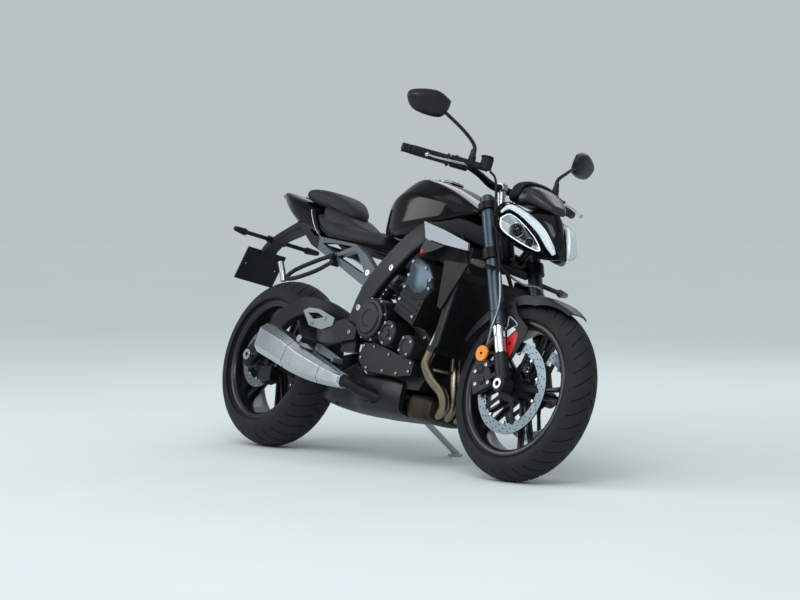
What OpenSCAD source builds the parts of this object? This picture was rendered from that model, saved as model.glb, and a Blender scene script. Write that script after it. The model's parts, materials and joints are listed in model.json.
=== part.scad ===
// Standard motorcycle, parked leaning to its left on the side stand.
// Drawn upright with the ground point under the rear axle as zero, x forward, y left, z up,
// then leaned, so that the ground is z = 0 and the middle of the outline stands over zero.

/* [Stance] */
// Lean to the left on the side stand, degrees
lean = 14.8; // [10:0.1:18]
// Steering turned to the left as parked, degrees
steer_rest = 3.3; // [0:0.1:10]

/* [Wheels] */
// Distance between the axles
wheelbase = 1402; // [1390:1:1430]
// Outer radius of the front tyre
front_tyre_r = 300; // [296:1:304]
// Width of the front tyre
front_tyre_w = 120; // [116:1:124]
// Outer radius of the rear tyre
rear_tyre_r = 315; // [310:1:320]
// Width of the rear tyre
rear_tyre_w = 180; // [174:1:184]
// Radius of the seat on which both tyres sit
rim_r = 217; // [214:0.5:219]
// Radius of both wheel axles
axle_r = 12.5; // [10:0.5:14]
// Radius of the hole through each axle
axle_hole_r = 8.5; // [6:0.5:9.5]
// Radius of the front brake discs
front_disc_r = 155; // [150:1:160]
// Radius of the rear brake disc
rear_disc_r = 110; // [105:1:114]
// Number of double spokes in each wheel
spokes = 5; // [5:1:6]

/* [Steering] */
// Angle of the steering axis from the upright
rake = 23.7; // [22:0.1:25]
// Distance of the fork legs in front of the steering axis
fork_offset = 31; // [28:1:34]
// Distance between the fork legs
fork_spacing = 204; // [200:1:212]
// Radius of the upper fork tubes
fork_tube_r = 25; // [23:0.5:27]
// Radius of the lower fork tubes
slider_r = 20.5; // [19:0.5:21.5]
// Length of the fork from the axle to its top caps
fork_length = 690; // [680:1:700]
// Half width of the handlebar
bar_half = 396; // [380:1:410]
// Radius of the handlebar tube
bar_r = 11; // [10:0.5:12]
// Radius of the handlebar grips
grip_r = 16.5; // [15:0.5:18]
// Radius of the steering stem
stem_r = 15; // [13:0.5:17]

/* [Engine] */
// Half width of the crankcase
case_half = 98; // [94:1:100]
// Half width of the cylinder block and head
head_half = 150; // [140:1:158]
// Radius of the clutch cover
clutch_r = 77; // [70:1:82]
// Distance of the clutch cover's face from the middle
clutch_out = 200; // [190:1:205]
// Radius of the exhaust pipes
pipe_r = 19; // [17:0.5:20]

/* [Final drive] */
// Pitch radius of the rear sprocket
rear_sprocket_r = 119; // [112:1:122]
// Pitch radius of the front sprocket
front_sprocket_r = 40; // [36:1:43]
// Width of the chain
chain_w = 16; // [14:0.5:18]
// Distance of the chain's middle from the wheel's middle
chain_line = 108; // [106:0.5:110]

/* [Body] */
// Height of the top of the tank
tank_top = 1015; // [1000:1:1030]
// Half width of the tank
tank_half = 140; // [130:1:150]
// Height of the rider's seat
seat_height = 826; // [815:1:840]
// Height of the number plate's holder
plate_h = 135; // [120:1:150]
// Width of the number plate's holder
plate_w = 180; // [170:1:190]
// Spacing of the number plate's two bolt holes
plate_hole_spacing = 140; // [120:1:150]
// Radius of the number plate's bolt holes
plate_hole_r = 3.5; // [3:0.1:4]

/* [Side stand] */
// Distance of the stand's foot to the left of the tyres on the ground
stand_reach = 348; // [335:1:360]
// Radius of the stand's leg
stand_leg_r = 11; // [9:0.5:13]
// Radius of the stand's foot
foot_r = 26; // [22:0.5:30]
// Radius of the stand's pivot pin
stand_pin_r = 8; // [6:0.5:9]

/* [Fits] */
// Clearance on the radius of shafts and pins that turn
run_gap = 0.05; // [0.02:0.01:0.1]
// Gap between pieces that lie on each other
rest_gap = 0.3; // [0.2:0.05:0.5]

/* [Hidden] */

round_fn = 64;
wheel_fn = 128;
tube_sides = 12;

black = [0.05, 0.05, 0.06];
graphite = [0.2, 0.21, 0.23];
silver = [0.7, 0.71, 0.73];
steel = [0.55, 0.56, 0.58];
rubber = [0.08, 0.08, 0.08];
amber = [0.95, 0.5, 0.1];
red = [0.8, 0.1, 0.1];
lens = [0.85, 0.88, 0.9];

// Points and turns
function unit(v) = v / norm(v);
function about(v, axis, angle) =
    v * cos(angle) + cross(axis, v) * sin(angle) + axis * (axis * v) * (1 - cos(angle));
function mirrored(p) = [p.x, -p.y, p.z];

front_axle_at = [wheelbase, 0, front_tyre_r];
rear_axle_at = [0, 0, rear_tyre_r];
steer_axis = [-sin(rake), 0, cos(rake)];
fork_ahead = [cos(rake), 0, sin(rake)];
steer_point = front_axle_at - fork_ahead * fork_offset;
leg_y = fork_spacing / 2;

function turned(p) = steer_point + about(p - steer_point, steer_axis, steer_rest);

// A tyre's crown is an arc; the wheel's lowest point follows from the arc and the axle's slope.
front_crown_r = front_tyre_w * 0.52;
rear_crown_r = rear_tyre_w * 0.53;
function leaned(p) = about(p, [1, 0, 0], -lean);
front_axle_dir = leaned(about([0, 1, 0], steer_axis, steer_rest));
rear_axle_dir = leaned([0, 1, 0]);
function lowest(at, dir, r, crown) = at.z - (r - crown) * sqrt(1 - dir.z * dir.z) - crown;
front_low = lowest(leaned(turned(front_axle_at)), front_axle_dir, front_tyre_r, front_crown_r);
rear_low = lowest(leaned(rear_axle_at), rear_axle_dir, rear_tyre_r, rear_crown_r);
pitch = asin((front_low - rear_low) / (wheelbase * cos(lean)));

// The middle of the outline lies between the tyres, and between a mirror and the silencer.
mirror_reach = 455;
mirror_height = 1190;
right_reach = 266;
right_height = 288;
left_edge = mirror_reach * cos(lean) + mirror_height * sin(lean);
right_edge = -right_reach * cos(lean) + right_height * sin(lean);
middle = [(wheelbase + front_tyre_r - rear_tyre_r) / 2, (left_edge + right_edge) / 2, rear_low];

function parked_at(p) = leaned(about(p, [0, 1, 0], pitch)) - middle;

module parked() {
    translate(-middle) rotate([-lean, 0, 0]) rotate([0, pitch, 0]) children();
}

// The fork's own frame has its zero at the front axle and its z along the fork legs.
module fork_frame() {
    translate(front_axle_at) rotate([0, -rake, 0]) children();
}

module steered() {
    fork_frame() translate([-fork_offset, 0, 0]) rotate([0, 0, steer_rest])
        translate([fork_offset, 0, 0]) rotate([0, rake, 0]) translate(-front_axle_at) children();
}

module front_wheel_frame() {
    parked() steered() translate(front_axle_at) children();
}

module rear_wheel_frame() {
    parked() translate(rear_axle_at) children();
}

module both_sides() {
    children();
    mirror([0, 1, 0]) children();
}

module across(from, to, r, fn = round_fn) {
    translate([0, from, 0]) rotate([-90, 0, 0]) cylinder(h = to - from, r = r, $fn = fn);
}

module rod(from, to, r, fn = round_fn) {
    run = to - from;
    translate(from) rotate([0, acos(run.z / norm(run)), atan2(run.y, run.x)])
        cylinder(h = norm(run), r = r, $fn = fn);
}

module slab(outline, from, to) {
    translate([0, to, 0]) rotate([90, 0, 0]) linear_extrude(to - from) polygon(outline);
}

// Skins over closed rings of points, each ring turning to the right about the way forward
module skin(rings) {
    count = len(rings[0]);
    last = len(rings) - 1;
    walls = [for (i = [0:last - 1]) for (k = [0:count - 1])
        [i * count + k, (i + 1) * count + k, (i + 1) * count + (k + 1) % count,
            i * count + (k + 1) % count]];
    near = [for (k = [0:count - 1]) k];
    far = [for (k = [0:count - 1]) last * count + count - 1 - k];
    polyhedron([for (r = rings) each r], concat([near], walls, [far]));
}

function curve_at(p, i, t) =
    let (a = p[max(i - 1, 0)], b = p[i], c = p[i + 1], d = p[min(i + 2, len(p) - 1)])
    0.5 * (2 * b + (c - a) * t + (2 * a - 5 * b + 4 * c - d) * t * t
        + (3 * b - a - 3 * c + d) * t * t * t);
function smooth(p, steps) = concat([for (i = [0:len(p) - 2]) for (k = [0:steps - 1])
    curve_at(p, i, k / steps)], [p[len(p) - 1]]);

function ways(p) = [for (i = [0:len(p) - 1])
    unit(p[min(i + 1, len(p) - 1)] - p[max(i - 1, 0)])];
function side_of(way) = abs(way.y) < 0.8 ? unit([0, 1, 0] - way.y * way) : unit([1, 0, 0] - way.x * way);
function carried(sides, t) = len(sides) == len(t) ? sides
    : carried(concat(sides, [unit(sides[len(sides) - 1] - (sides[len(sides) - 1] * t[len(sides)])
        * t[len(sides)])]), t);

module tube(points, r, steps = 4, sides = tube_sides) {
    path = smooth(points, steps);
    t = ways(path);
    n = carried([side_of(t[0])], t);
    skin([for (i = [0:len(path) - 1]) [for (k = [0:sides - 1]) path[i]
        + r * (cos(360 * k / sides) * n[i] + sin(360 * k / sides) * cross(t[i], n[i]))]]);
}

// A beam of chamfered box section; each station is x, y, z, half width and half depth.
function beam_ring(s, way, cut, grow) =
    let (at = [s[0], s[1], s[2]], n = unit([0, 1, 0] - way.y * way), m = cross(way, n),
        w = s[3] + grow, h = s[4] + grow, c = cut * min(w, h))
    [for (q = [[w, c - h], [w, h - c], [w - c, h], [c - w, h], [-w, h - c], [-w, c - h],
        [c - w, -h], [w - c, -h]]) at + q.x * n + q.y * m];
module beam(stations, cut = 0.3, steps = 3, grow = 0) {
    path = smooth(stations, steps);
    t = ways([for (s = path) [s[0], s[1], s[2]]]);
    skin([for (i = [0:len(path) - 1]) beam_ring(path[i], t[i], cut, grow)]);
}

// A rounded body along x; each station is x, low, high, half width and the slope of its face.
function body_ring(s, top_power, low_power, sides) =
    [for (k = [0:sides - 1]) let (a = 360 * k / sides, power = sin(a) < 0 ? low_power : top_power,
        y = s[3] * sign(cos(a)) * pow(abs(cos(a)), 2 / power),
        h = (s[2] - s[1]) / 2 * sign(sin(a)) * pow(abs(sin(a)), 2 / power))
        [s[0] + s[4] * h, y, (s[1] + s[2]) / 2 + h]];
module body(stations, top_power = 2.5, low_power = 4, steps = 3, sides = 24) {
    path = smooth(stations, steps);
    skin([for (s = path) body_ring(s, top_power, low_power, sides)]);
}

// Wheels
function crown(r, crown_r, half, steps) = let (reach = asin(half / crown_r))
    [for (k = [-steps:steps]) let (a = reach * k / steps)
        [r - crown_r + crown_r * cos(a), crown_r * sin(a)]];

module tyre(r, w, crown_r) {
    half = w / 2;
    bead = half * 0.8;
    shoulder = r - crown_r + crown_r * cos(asin(half / crown_r));
    mid_wall = (shoulder + rim_r) / 2;
    rotate([-90, 0, 0]) rotate_extrude($fn = wheel_fn) polygon(concat(
        [[rim_r + rest_gap, -bead], [rim_r + 14, -bead - 1], [mid_wall, -half * 0.99]],
        crown(r, crown_r, half, 8),
        [[mid_wall, half * 0.99], [rim_r + 14, bead + 1], [rim_r + rest_gap, bead]]));
}

spoke_root = 36;
spoke_width = 17;
module spoke_pair(depth) {
    for (s = [-1, 1]) linear_extrude(depth, center = true)
        polygon([[spoke_root - 8, s * 5 - spoke_width * 0.6], [spoke_root - 8, s * 5 + spoke_width * 0.6],
            [rim_r - 14, s * 26 + spoke_width / 2], [rim_r - 14, s * 26 - spoke_width / 2]]);
}

module rim(w, hub_half, hub_r, depth) {
    seat = w * 0.4 + rest_gap;
    flange = seat + 5;
    difference() {
        union() {
            rotate([-90, 0, 0]) rotate_extrude($fn = wheel_fn) polygon([[rim_r + 11, -flange],
                [rim_r + 11, -seat - 1.5], [rim_r, -seat - rest_gap], [rim_r, seat + rest_gap],
                [rim_r + 11, seat + 1.5], [rim_r + 11, flange], [rim_r - 6, flange],
                [rim_r - 14, flange - 10], [rim_r - 19, 20], [rim_r - 19, -20],
                [rim_r - 14, 10 - flange], [rim_r - 6, -flange]]);
            rotate([-90, 0, 0]) for (i = [0:spokes - 1]) rotate([0, 0, 360 * i / spokes]) spoke_pair(depth);
            across(-hub_half, hub_half, hub_r);
        }
        across(-hub_half - 1, hub_half + 1, axle_r + run_gap);
    }
}

front_hub_half = 56;
front_hub_r = 38;
front_disc_at = 62;
disc_thick = 5;
rear_hub_half = 92;
rear_hub_r = 46;
rear_disc_at = 96;

module front_tyre() {
    color(rubber) front_wheel_frame() tyre(front_tyre_r, front_tyre_w, front_crown_r);
}

module front_rim() {
    color(black) front_wheel_frame() rim(front_tyre_w, front_hub_half, front_hub_r, 26);
}

module spider_disc(r, band, at, hub_half, hub_r, hole_r, arm_w) {
    difference() {
        union() {
            translate([0, at, 0]) rotate([-90, 0, 0]) linear_extrude(disc_thick) union() {
                difference() {
                    circle(r, $fn = wheel_fn);
                    circle(r - band, $fn = wheel_fn);
                }
                circle(hub_r, $fn = round_fn);
                for (i = [0:spokes - 1]) rotate(360 * i / spokes)
                    translate([hole_r + 4, -arm_w / 2]) square([r - band / 2 - hole_r - 4, arm_w]);
            }
            across(hub_half, at + 1, hub_r - 6);
        }
        across(0, at + disc_thick + 1, hole_r);
    }
}

module front_discs() {
    color(steel) front_wheel_frame() both_sides()
        spider_disc(front_disc_r, 36, front_disc_at, front_hub_half, front_hub_r + 10, 22, 15);
}

module rear_tyre() {
    color(rubber) rear_wheel_frame() tyre(rear_tyre_r, rear_tyre_w, rear_crown_r);
}

module rear_rim() {
    color(black) rear_wheel_frame() rim(rear_tyre_w, rear_hub_half, rear_hub_r, 30);
}

module rear_disc() {
    color(steel) rear_wheel_frame() mirror([0, 1, 0])
        spider_disc(rear_disc_r, 30, rear_disc_at, rear_hub_half, rear_hub_r + 4, 26, 16);
}

sprocket_thick = 7;
chain_half = 6;
module rear_sprocket() {
    at = chain_line - sprocket_thick / 2;
    outer = rear_sprocket_r - chain_half - 1;
    windows = 6;
    color(steel) rear_wheel_frame() difference() {
        union() {
            across(rear_hub_half, at + sprocket_thick, rear_hub_r + 8);
            translate([0, at, 0]) rotate([-90, 0, 0]) linear_extrude(sprocket_thick) difference() {
                circle(outer, $fn = wheel_fn);
                for (i = [0:windows - 1]) rotate(360 * i / windows)
                    translate([(outer + rear_hub_r) / 2 + 2, 0]) circle(15, $fn = round_fn);
            }
        }
        across(0, at + sprocket_thick + 1, 26);
    }
}

// Front fork and steering head
module front_axle() {
    collar_r = 18;
    color(steel) front_wheel_frame() difference() {
        union() {
            across(-leg_y - 26, leg_y + 26, axle_r);
            both_sides() across(front_hub_half + 1, leg_y - slider_r - 5, collar_r);
            across(-leg_y - 32, -leg_y - 25.5, collar_r);
        }
        across(-leg_y - 40, leg_y + 40, axle_hole_r);
    }
}

slider_top = 225;
foot_top = 112;
module fork_tubes() {
    color(graphite) parked() steered() fork_frame() both_sides() translate([0, leg_y, 0]) union() {
        translate([0, 0, slider_top]) cylinder(h = fork_length - slider_top, r = fork_tube_r, $fn = round_fn);
        translate([0, 0, foot_top + rest_gap])
            cylinder(h = slider_top - foot_top, r = slider_r, $fn = round_fn);
        translate([0, 0, slider_top - 14]) cylinder(h = 16, r = fork_tube_r + 2, $fn = round_fn);
        translate([0, 0, fork_length - 1]) cylinder(h = 9, r = fork_tube_r - 8, $fn = 6);
    }
}

module fork_bottoms() {
    boss_r = 27;
    color(graphite) parked() steered() fork_frame() both_sides() difference() {
        union() {
            translate([0, leg_y, 10]) cylinder(h = foot_top - 10, r = slider_r + 4, $fn = round_fn);
            across(leg_y - 22, leg_y + 25, boss_r);
            translate([-61 + rest_gap, leg_y - 14, 40]) cube([50, 20, 16]);
            translate([-61 + rest_gap, leg_y - 14, 84]) cube([50, 20, 16]);
        }
        across(leg_y - 40, leg_y + 40, axle_r + run_gap);
    }
}

lower_yoke_at = 455;
lower_yoke_h = 38;
top_yoke_at = 640;
top_yoke_h = 26;
module yoke_plate(at, height) {
    difference() {
        union() {
            both_sides() translate([0, leg_y, at]) cylinder(h = height, r = fork_tube_r + 9, $fn = round_fn);
            translate([-fork_offset, 0, at]) cylinder(h = height, r = stem_r + 12, $fn = round_fn);
            translate([-fork_offset - 12, -leg_y, at]) cube([fork_offset + 14, 2 * leg_y, height * 0.75]);
        }
        both_sides() translate([0, leg_y, at - 1])
            cylinder(h = height + 2, r = fork_tube_r + run_gap, $fn = round_fn);
    }
}

module yokes() {
    stem_at = [-fork_offset, 0, lower_yoke_at];
    color(black) parked() steered() fork_frame() {
        union() {
            yoke_plate(lower_yoke_at, lower_yoke_h);
            translate(stem_at) cylinder(h = top_yoke_at + top_yoke_h - lower_yoke_at, r = stem_r, $fn = round_fn);
            translate([-4, -28, lower_yoke_at + 4]) cube([40, 56, 20]);
        }
        difference() {
            yoke_plate(top_yoke_at, top_yoke_h);
            translate([-fork_offset, 0, top_yoke_at - 1])
                cylinder(h = top_yoke_h + 2, r = stem_r + rest_gap, $fn = round_fn);
        }
    }
}

// Handlebar and its fittings
bar_mid = [1105, 0, 985];
bar_tip = [1013, bar_half, 1019];
grip_root = [1075, bar_half - 128, 1018];
grip_way = unit(bar_tip - grip_root);
bar_bend = grip_root - grip_way * 58;
bar_path = [bar_mid, [1105, 78, 985], [1107, 150, 1005], bar_bend, grip_root, bar_tip];
bar_line = concat([for (i = [len(bar_path) - 1:-1:1]) mirrored(bar_path[i])], bar_path);

module handlebar() {
    color(graphite) parked() steered() difference() {
        union() {
            tube(bar_line, bar_r);
            both_sides() translate([0, 32, 0]) rotate([0, 0, 0]) union() {
                across_at([bar_mid.x, -12, bar_mid.z], 24, 21);
                rod([bar_mid.x - 4, 0, bar_mid.z - 4], riser_foot(), 15);
            }
        }
        fork_frame() translate([-200, -200, 0]) cube([400, 400, top_yoke_at + top_yoke_h + rest_gap]);
    }
}

function riser_foot() = front_axle_at + steer_axis * (top_yoke_at + 10) - fork_ahead * 10;
module across_at(at, length, r) {
    translate(at) rotate([-90, 0, 0]) cylinder(h = length, r = r, $fn = round_fn);
}

module grips() {
    color(rubber) parked() steered() both_sides() difference() {
        union() {
            rod(grip_root, bar_tip - grip_way * 4, grip_r);
            rod(grip_root, grip_root + grip_way * 6, grip_r + 6);
        }
        rod(grip_root - grip_way * 5, bar_tip + grip_way * 5, bar_r + rest_gap);
    }
}

perch_from = grip_root - grip_way * 46 + [4, 0, -4];
perch_to = grip_root - grip_way * 30 + [48, 4, -8];
perch_r = 12;
module bar_controls() {
    color(black) parked() steered() difference() {
        union() {
            both_sides() {
                rod(bar_bend - grip_way * 10, grip_root - grip_way * 9, 21);
                rod(perch_from, perch_to, perch_r);
                rod([1102, 205, 1016], [1120, 205, 1028], 13);
                rod([1120, 205, 1018], [1120, 205, 1046], 13);
            }
            rod([1120, -205, 1024], [1160, -160, 1020], 12);
            rod([1158, -172, 1014], [1162, -172, 1052], 21);
            both_sides() rod(bar_tip - grip_way * 3.5, bar_tip + grip_way * 24, grip_r - 1);
        }
        tube(bar_line, bar_r + rest_gap);
    }
}

module levers() {
    color(silver) parked() steered() both_sides() difference() {
        tube([[1126, 238, 1009], [1146, 258, 1006], [1130, 310, 1003], [1106, 352, 1002],
            [1092, bar_half - 16, 1004]], 6.5);
        rod(perch_from, perch_to, perch_r + rest_gap);
        rod(bar_bend, grip_root, 21 + rest_gap);
    }
}

mirror_mid = [1046, 385, 1185];
module mirrors() {
    color(graphite) parked() steered() both_sides() {
        union() {
            tube([[1120, 205, 1046 + rest_gap], [1119, 206, 1085], [1106, 250, 1122], [1074, 318, 1164],
                [1062, 345, 1176]], 6.5);
            translate(mirror_mid) rotate([0, 14, 24]) mirror_shell();
        }
    }
}

// The shell's rings run from the glass forward; it is a rounded lens of six sides.
module mirror_shell() {
    outline = [[76, 26], [20, 47], [-62, 28], [-74, -2], [-38, -38], [48, -40], [74, -8]];
    round_outline = smooth(concat(outline, [outline[0]]), 3);
    count = len(round_outline) - 1;
    steps = [[-14, 0.97], [-12, 1], [0, 0.99], [12, 0.86], [20, 0.6], [23, 0.25]];
    skin([for (s = steps) [for (k = [0:count - 1])
        [s[0], round_outline[count - 1 - k].x * -s[1], round_outline[count - 1 - k].y * s[1]]]]);
}

// Twin headlamps, each an upswept eye, with the housing and nose between
lamp_mid = [1338, 86, 826];
lamp_out = unit([-0.75, 0.524, 0.403]);
lamp_up = unit([0.25, -0.338, 0.907]);
lamp_front = cross(lamp_out, lamp_up);
lamp_outline = [[-142, -14], [-84, -48], [0, -60], [64, -60], [108, -38], [127, 4], [110, 44], [40, 52],
    [-30, 40], [-96, 14]];
function eye(scale, depth) = let (p = smooth(concat(lamp_outline, [lamp_outline[0]]), 3),
    count = len(p) - 1)
    [for (k = [0:count - 1]) lamp_mid + lamp_out * p[k].x * scale + lamp_up * p[k].y * scale
        + lamp_front * depth];

module headlamps() {
    color(lens) parked() steered() both_sides()
        skin([for (s = [[0.98, 0], [0.98, 8], [0.88, 26], [0.68, 38], [0.35, 46]]) eye(s[0], s[1])]);
}

nose_line = [[1262, 792, 900, 70, 0], [1320, 770, 925, 62, 0], [1372, 764, 905, 40, 0], [1404, 776, 850, 24, 0]];
module headlamp_cowl() {
    color(black) parked() steered() union() {
        both_sides() skin([for (s = [[0.45, -78], [0.8, -52], [1.06, -14], [1.06, -rest_gap]]) eye(s[0], s[1])]);
        body(nose_line, steps = 2);
        difference() {
            beam([[1236, 0, 736, 20, 9], [1262, 0, 762, 20, 9], [1296, 0, 806, 20, 9]]);
            fork_frame() translate([-264, -100, lower_yoke_at - 50]) cube([300 + rest_gap, 200, 200]);
        }
    }
}

module instrument() {
    color(black) parked() steered() difference() {
        union() {
            body([[1208, 936, 960, 70, 0.4], [1222, 930, 1004, 92, 0.4], [1246, 932, 1012, 92, 0.4],
                [1262, 936, 1006, 84, 0.4]], steps = 2);
            body([[1266, 918, 996, 86, 0.4], [1300, 918, 984, 84, 0.3], [1340, 912, 956, 64, 0.2],
                [1372, 906, 934, 34, 0]], steps = 2);
            translate([1262, -60, 940]) cube([10, 120, 40]);
        }
        body(grown(nose_line, rest_gap), steps = 2);
    }
}

module front_indicators() {
    color(amber) parked() steered() both_sides() difference() {
        union() {
            rod([1246, leg_y + 4, 688], [1267, 190, 680], 8);
            hull() {
                translate([1266, 192, 680]) sphere(14, $fn = 24);
                translate([1258, 226, 682]) sphere(10, $fn = 24);
            }
        }
        fork_frame() translate([0, leg_y, 0]) cylinder(h = fork_length, r = fork_tube_r + rest_gap, $fn = round_fn);
    }
}

// Mudguard and fork guards
guard_gap = 16;
module front_mudguard() {
    inner = front_tyre_r + guard_gap;
    half = front_tyre_w / 2 + 4;
    profile = [[inner, -half + 20], [inner - 4, -half + 4], [inner - 34, -half], [inner - 34, -half - 4],
        [inner - 2, -half], [inner + 4, -half + 18], [inner + 7, 0], [inner + 4, half - 18], [inner - 2, half],
        [inner - 34, half + 4], [inner - 34, half], [inner - 4, half - 4], [inner, half - 20], [inner + 3, 0]];
    stay = [[1300, 578], [1338, 590], [1372, 542], [1428, 504], [1430, 484], [1406, 434], [1386, 392], [1358, 386],
        [1350, 420], [1336, 470], [1326, 520]];
    stay_top = [[1300, 578], [1338, 590], [1345, 560], [1310, 552]];
    stay_out = leg_y - slider_r - 4 - rest_gap;
    color(graphite) parked() steered() union() {
        translate(front_axle_at) rotate([90, 0, 0]) rotate([0, 0, 57])
            rotate_extrude(angle = 95, $fn = wheel_fn) polygon(profile);
        both_sides() {
            slab(stay, stay_out - 4, stay_out);
            slab(stay_top, front_tyre_w / 2 + 6, stay_out);
        }
    }
}

module front_calipers() {
    outer = [[-150, 20], [-61, 24], [-61, 116], [-110, 138], [-152, 92]];
    slot = disc_thick / 2 + 5;
    disc_mid = front_disc_at + disc_thick / 2;
    color(graphite) parked() steered() fork_frame() both_sides() difference() {
        slab(outer, disc_mid - 32, disc_mid + 30);
        translate([0, disc_mid - slot, 0]) rotate([-90, 0, 0])
            cylinder(h = 2 * slot, r = front_disc_r + 5, $fn = wheel_fn);
    }
}

module front_reflectors() {
    color(amber) parked() steered() both_sides() {
        across_at([1300, leg_y + slider_r + 6, 394], 8, 26);
        difference() {
            rod([1304, leg_y + slider_r + 9, 396], [1352, leg_y + slider_r - 2, 401], 5);
            fork_frame() translate([0, leg_y, 0]) cylinder(h = fork_length, r = slider_r + 4 + rest_gap, $fn = round_fn);
        }
    }
}

function fork_at(ahead, side, up) = front_axle_at + fork_ahead * ahead + [0, side, 0] + steer_axis * up;
module brake_hoses() {
    out = leg_y + 16;
    ahead = fork_tube_r + 17;
    split = fork_at(ahead, -out, 420);
    drop = [fork_at(30, out, 290), fork_at(4, out + 20, 200), fork_at(-46, out + 2, 146), fork_at(-84, out - 20, 131)];
    color(black) parked() steered() {
        tube(concat([[1158, -148, 1014], [1176, -128, 985], fork_at(ahead + 2, -out, 600), fork_at(ahead, -out, 500),
            split], [for (q = drop) mirrored(q)]), 4, sides = 8);
        tube(concat([split, fork_at(ahead, -out + 40, 392), fork_at(ahead - 6, 0, 380), fork_at(ahead, out - 40, 380)],
            drop), 4, sides = 8);
    }
}

// Frame
spar = [[590, 137, 360, 15, 40], [594, 137, 450, 15, 40], [636, 138, 575, 15, 42], [742, 140, 690, 15, 42],
    [850, 130, 786, 15, 40], [960, 97, 839, 15, 34]];
head_mid = front_axle_at + steer_axis * ((lower_yoke_at + lower_yoke_h + top_yoke_at) / 2)
    - fork_ahead * fork_offset;
spar_end = [head_mid.x - 12, 26, head_mid.z - 9, 13, 29];
spar_line = concat(spar, [spar_end]);
head_r = 30;
head_gap = 4;
pivot_at = [590, 0, 430];
pivot_bolt_r = 12;
engine_bolt_at = [664, 0, 530];
engine_bolt_r = 9;
cross_tube_at = [700, 0, 676];
cross_tube_r = 18;

module spars(grow = 0) {
    both_sides() beam(spar_line, grow = grow);
}

module head_tube(grow = 0) {
    from = lower_yoke_at + lower_yoke_h + head_gap;
    fork_frame() translate([-fork_offset, 0, from])
        cylinder(h = top_yoke_at - head_gap - from, r = head_r + grow, $fn = round_fn);
}

module main_frame() {
    color(graphite) parked() difference() {
        union() {
            spars();
            head_tube();
            translate(pivot_at) across(-150, 150, pivot_bolt_r);
            translate(engine_bolt_at) across(-150, 150, engine_bolt_r);
            translate(cross_tube_at) across(-140, 140, cross_tube_r);
        }
        fork_frame() translate([-fork_offset, 0, 0]) cylinder(h = 2 * fork_length, r = stem_r + run_gap, $fn = round_fn);
    }
}

// The rear rises with the seat, from the height at which it is drawn; the rails start at the frame.
drawn_seat = 826;
seat_rise = seat_height - drawn_seat;
rail_root = 566;
rail_full = 330;
function raised(stations) = [for (q = stations) [q[0], q[1] + seat_rise, q[2] + seat_rise, q[3], q[4]]];
function rail_rise(x) = seat_rise * max(0, min(1, (rail_root - x) / (rail_root - rail_full)));
function lifted(outline) = [for (q = outline) [q.x, q.y + rail_rise(q.x)]];
rail_low = lifted([[668, 612], [640, 590], [rail_root, 612], [rail_full, 700], [168, 756], [30, 846]]);
rail_high = lifted([[40, 880], [172, 792], [rail_full, 774], [486, 756], [572, 716], [660, 656]]);
rail_splay = 5.3;
rail_in = 56;
rail_out = 80;
module rails(grow = 0) {
    lift = [0, grow];
    end = [grow, 0];
    last = len(rail_low) - 1;
    low = [for (k = [0:last]) rail_low[k] - lift - (k == last ? end : [0, 0])];
    high = [for (k = [0:len(rail_high) - 1]) rail_high[k] + lift - (k == 0 ? end : [0, 0])];
    both_sides() rotate([0, 0, rail_splay]) slab(concat(low, high), rail_in - grow, rail_out + grow);
}

seat_bar = [488, 738 + rail_rise(488)];
module subframe() {
    front_window = lifted([[375, 710], [488, 731], [508, 722], [580, 655], [566, 648]]);
    rear_window = lifted([[247, 762], [340, 762], [470, 748], [347, 720]]);
    color(silver) parked() difference() {
        union() {
            rails();
            translate([228, 0, 750 + rail_rise(228)]) across(-90, 90, 12);
            translate([seat_bar.x, 0, seat_bar.y]) across(-106, 106, 12);
        }
        both_sides() rotate([0, 0, rail_splay]) {
            slab(front_window, rail_in - 20, rail_out + 20);
            slab(rear_window, rail_in - 20, rail_out + 20);
        }
        spars(rest_gap);
    }
}

// Engine
clutch_at = [734, 477];
case_side = [[632, 330], [632, 500], [664, 552], [760, 556], [812, 530], [930, 470], [1004, 420],
    [1012, 320], [968, 256], [700, 256]];
block_side = [[806, 520], [860, 660], [852, 690], [880, 714], [960, 682], [996, 640], [1006, 600],
    [962, 556], [930, 470]];
fin_count = 6;

module engine() {
    sprocket_at = [front_sprocket_at.x, front_sprocket_at.y];
    color(graphite) parked() difference() {
        union() {
            slab(case_side, -case_half, case_half);
            slab(block_side, -head_half, head_half);
            translate([front_sprocket_at.x, 0, front_sprocket_at.y]) {
                across(case_half - 1, chain_line + 4, front_sprocket_r - chain_half - rest_gap);
            }
        }
        translate(engine_bolt_at) across(-200, 200, engine_bolt_r + rest_gap);
        translate(engine_bolt_at) across(case_half + 2, 200, 30);
    }
}

module engine_covers() {
    water_at = [840, 432];
    start_at = [942, 394];
    dynamo_at = [880, 400];
    color(black) parked() {
        union() {
            translate([clutch_at.x, 0, clutch_at.y]) {
                across(-clutch_out + 22, -case_half - rest_gap, clutch_r);
                across(-clutch_out + 6, -case_half - 10, clutch_r - 6);
                across(-clutch_out, -case_half - 10, clutch_r - 22);
            }
            translate([water_at.x, 0, water_at.y]) across(-clutch_out + 14, -case_half - rest_gap, 46);
            translate([start_at.x, 0, start_at.y]) across(-clutch_out + 28, -case_half - rest_gap, 41);
            slab([[648, 340], [660, 400], [740, 400], [900, 360], [964, 350], [960, 300], [880, 290],
                [700, 300]], -case_half - 40, -case_half - rest_gap);
        }
        union() {
            translate([dynamo_at.x, 0, dynamo_at.y]) {
                across(case_half + rest_gap, clutch_out - 30, 82);
                across(case_half + 10, clutch_out - 14, 66);
            }
            slab([[700, 340], [710, 470], [800, 480], [940, 440], [962, 330], [880, 290]],
                case_half + rest_gap, case_half + 36);
        }
    }
}

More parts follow.
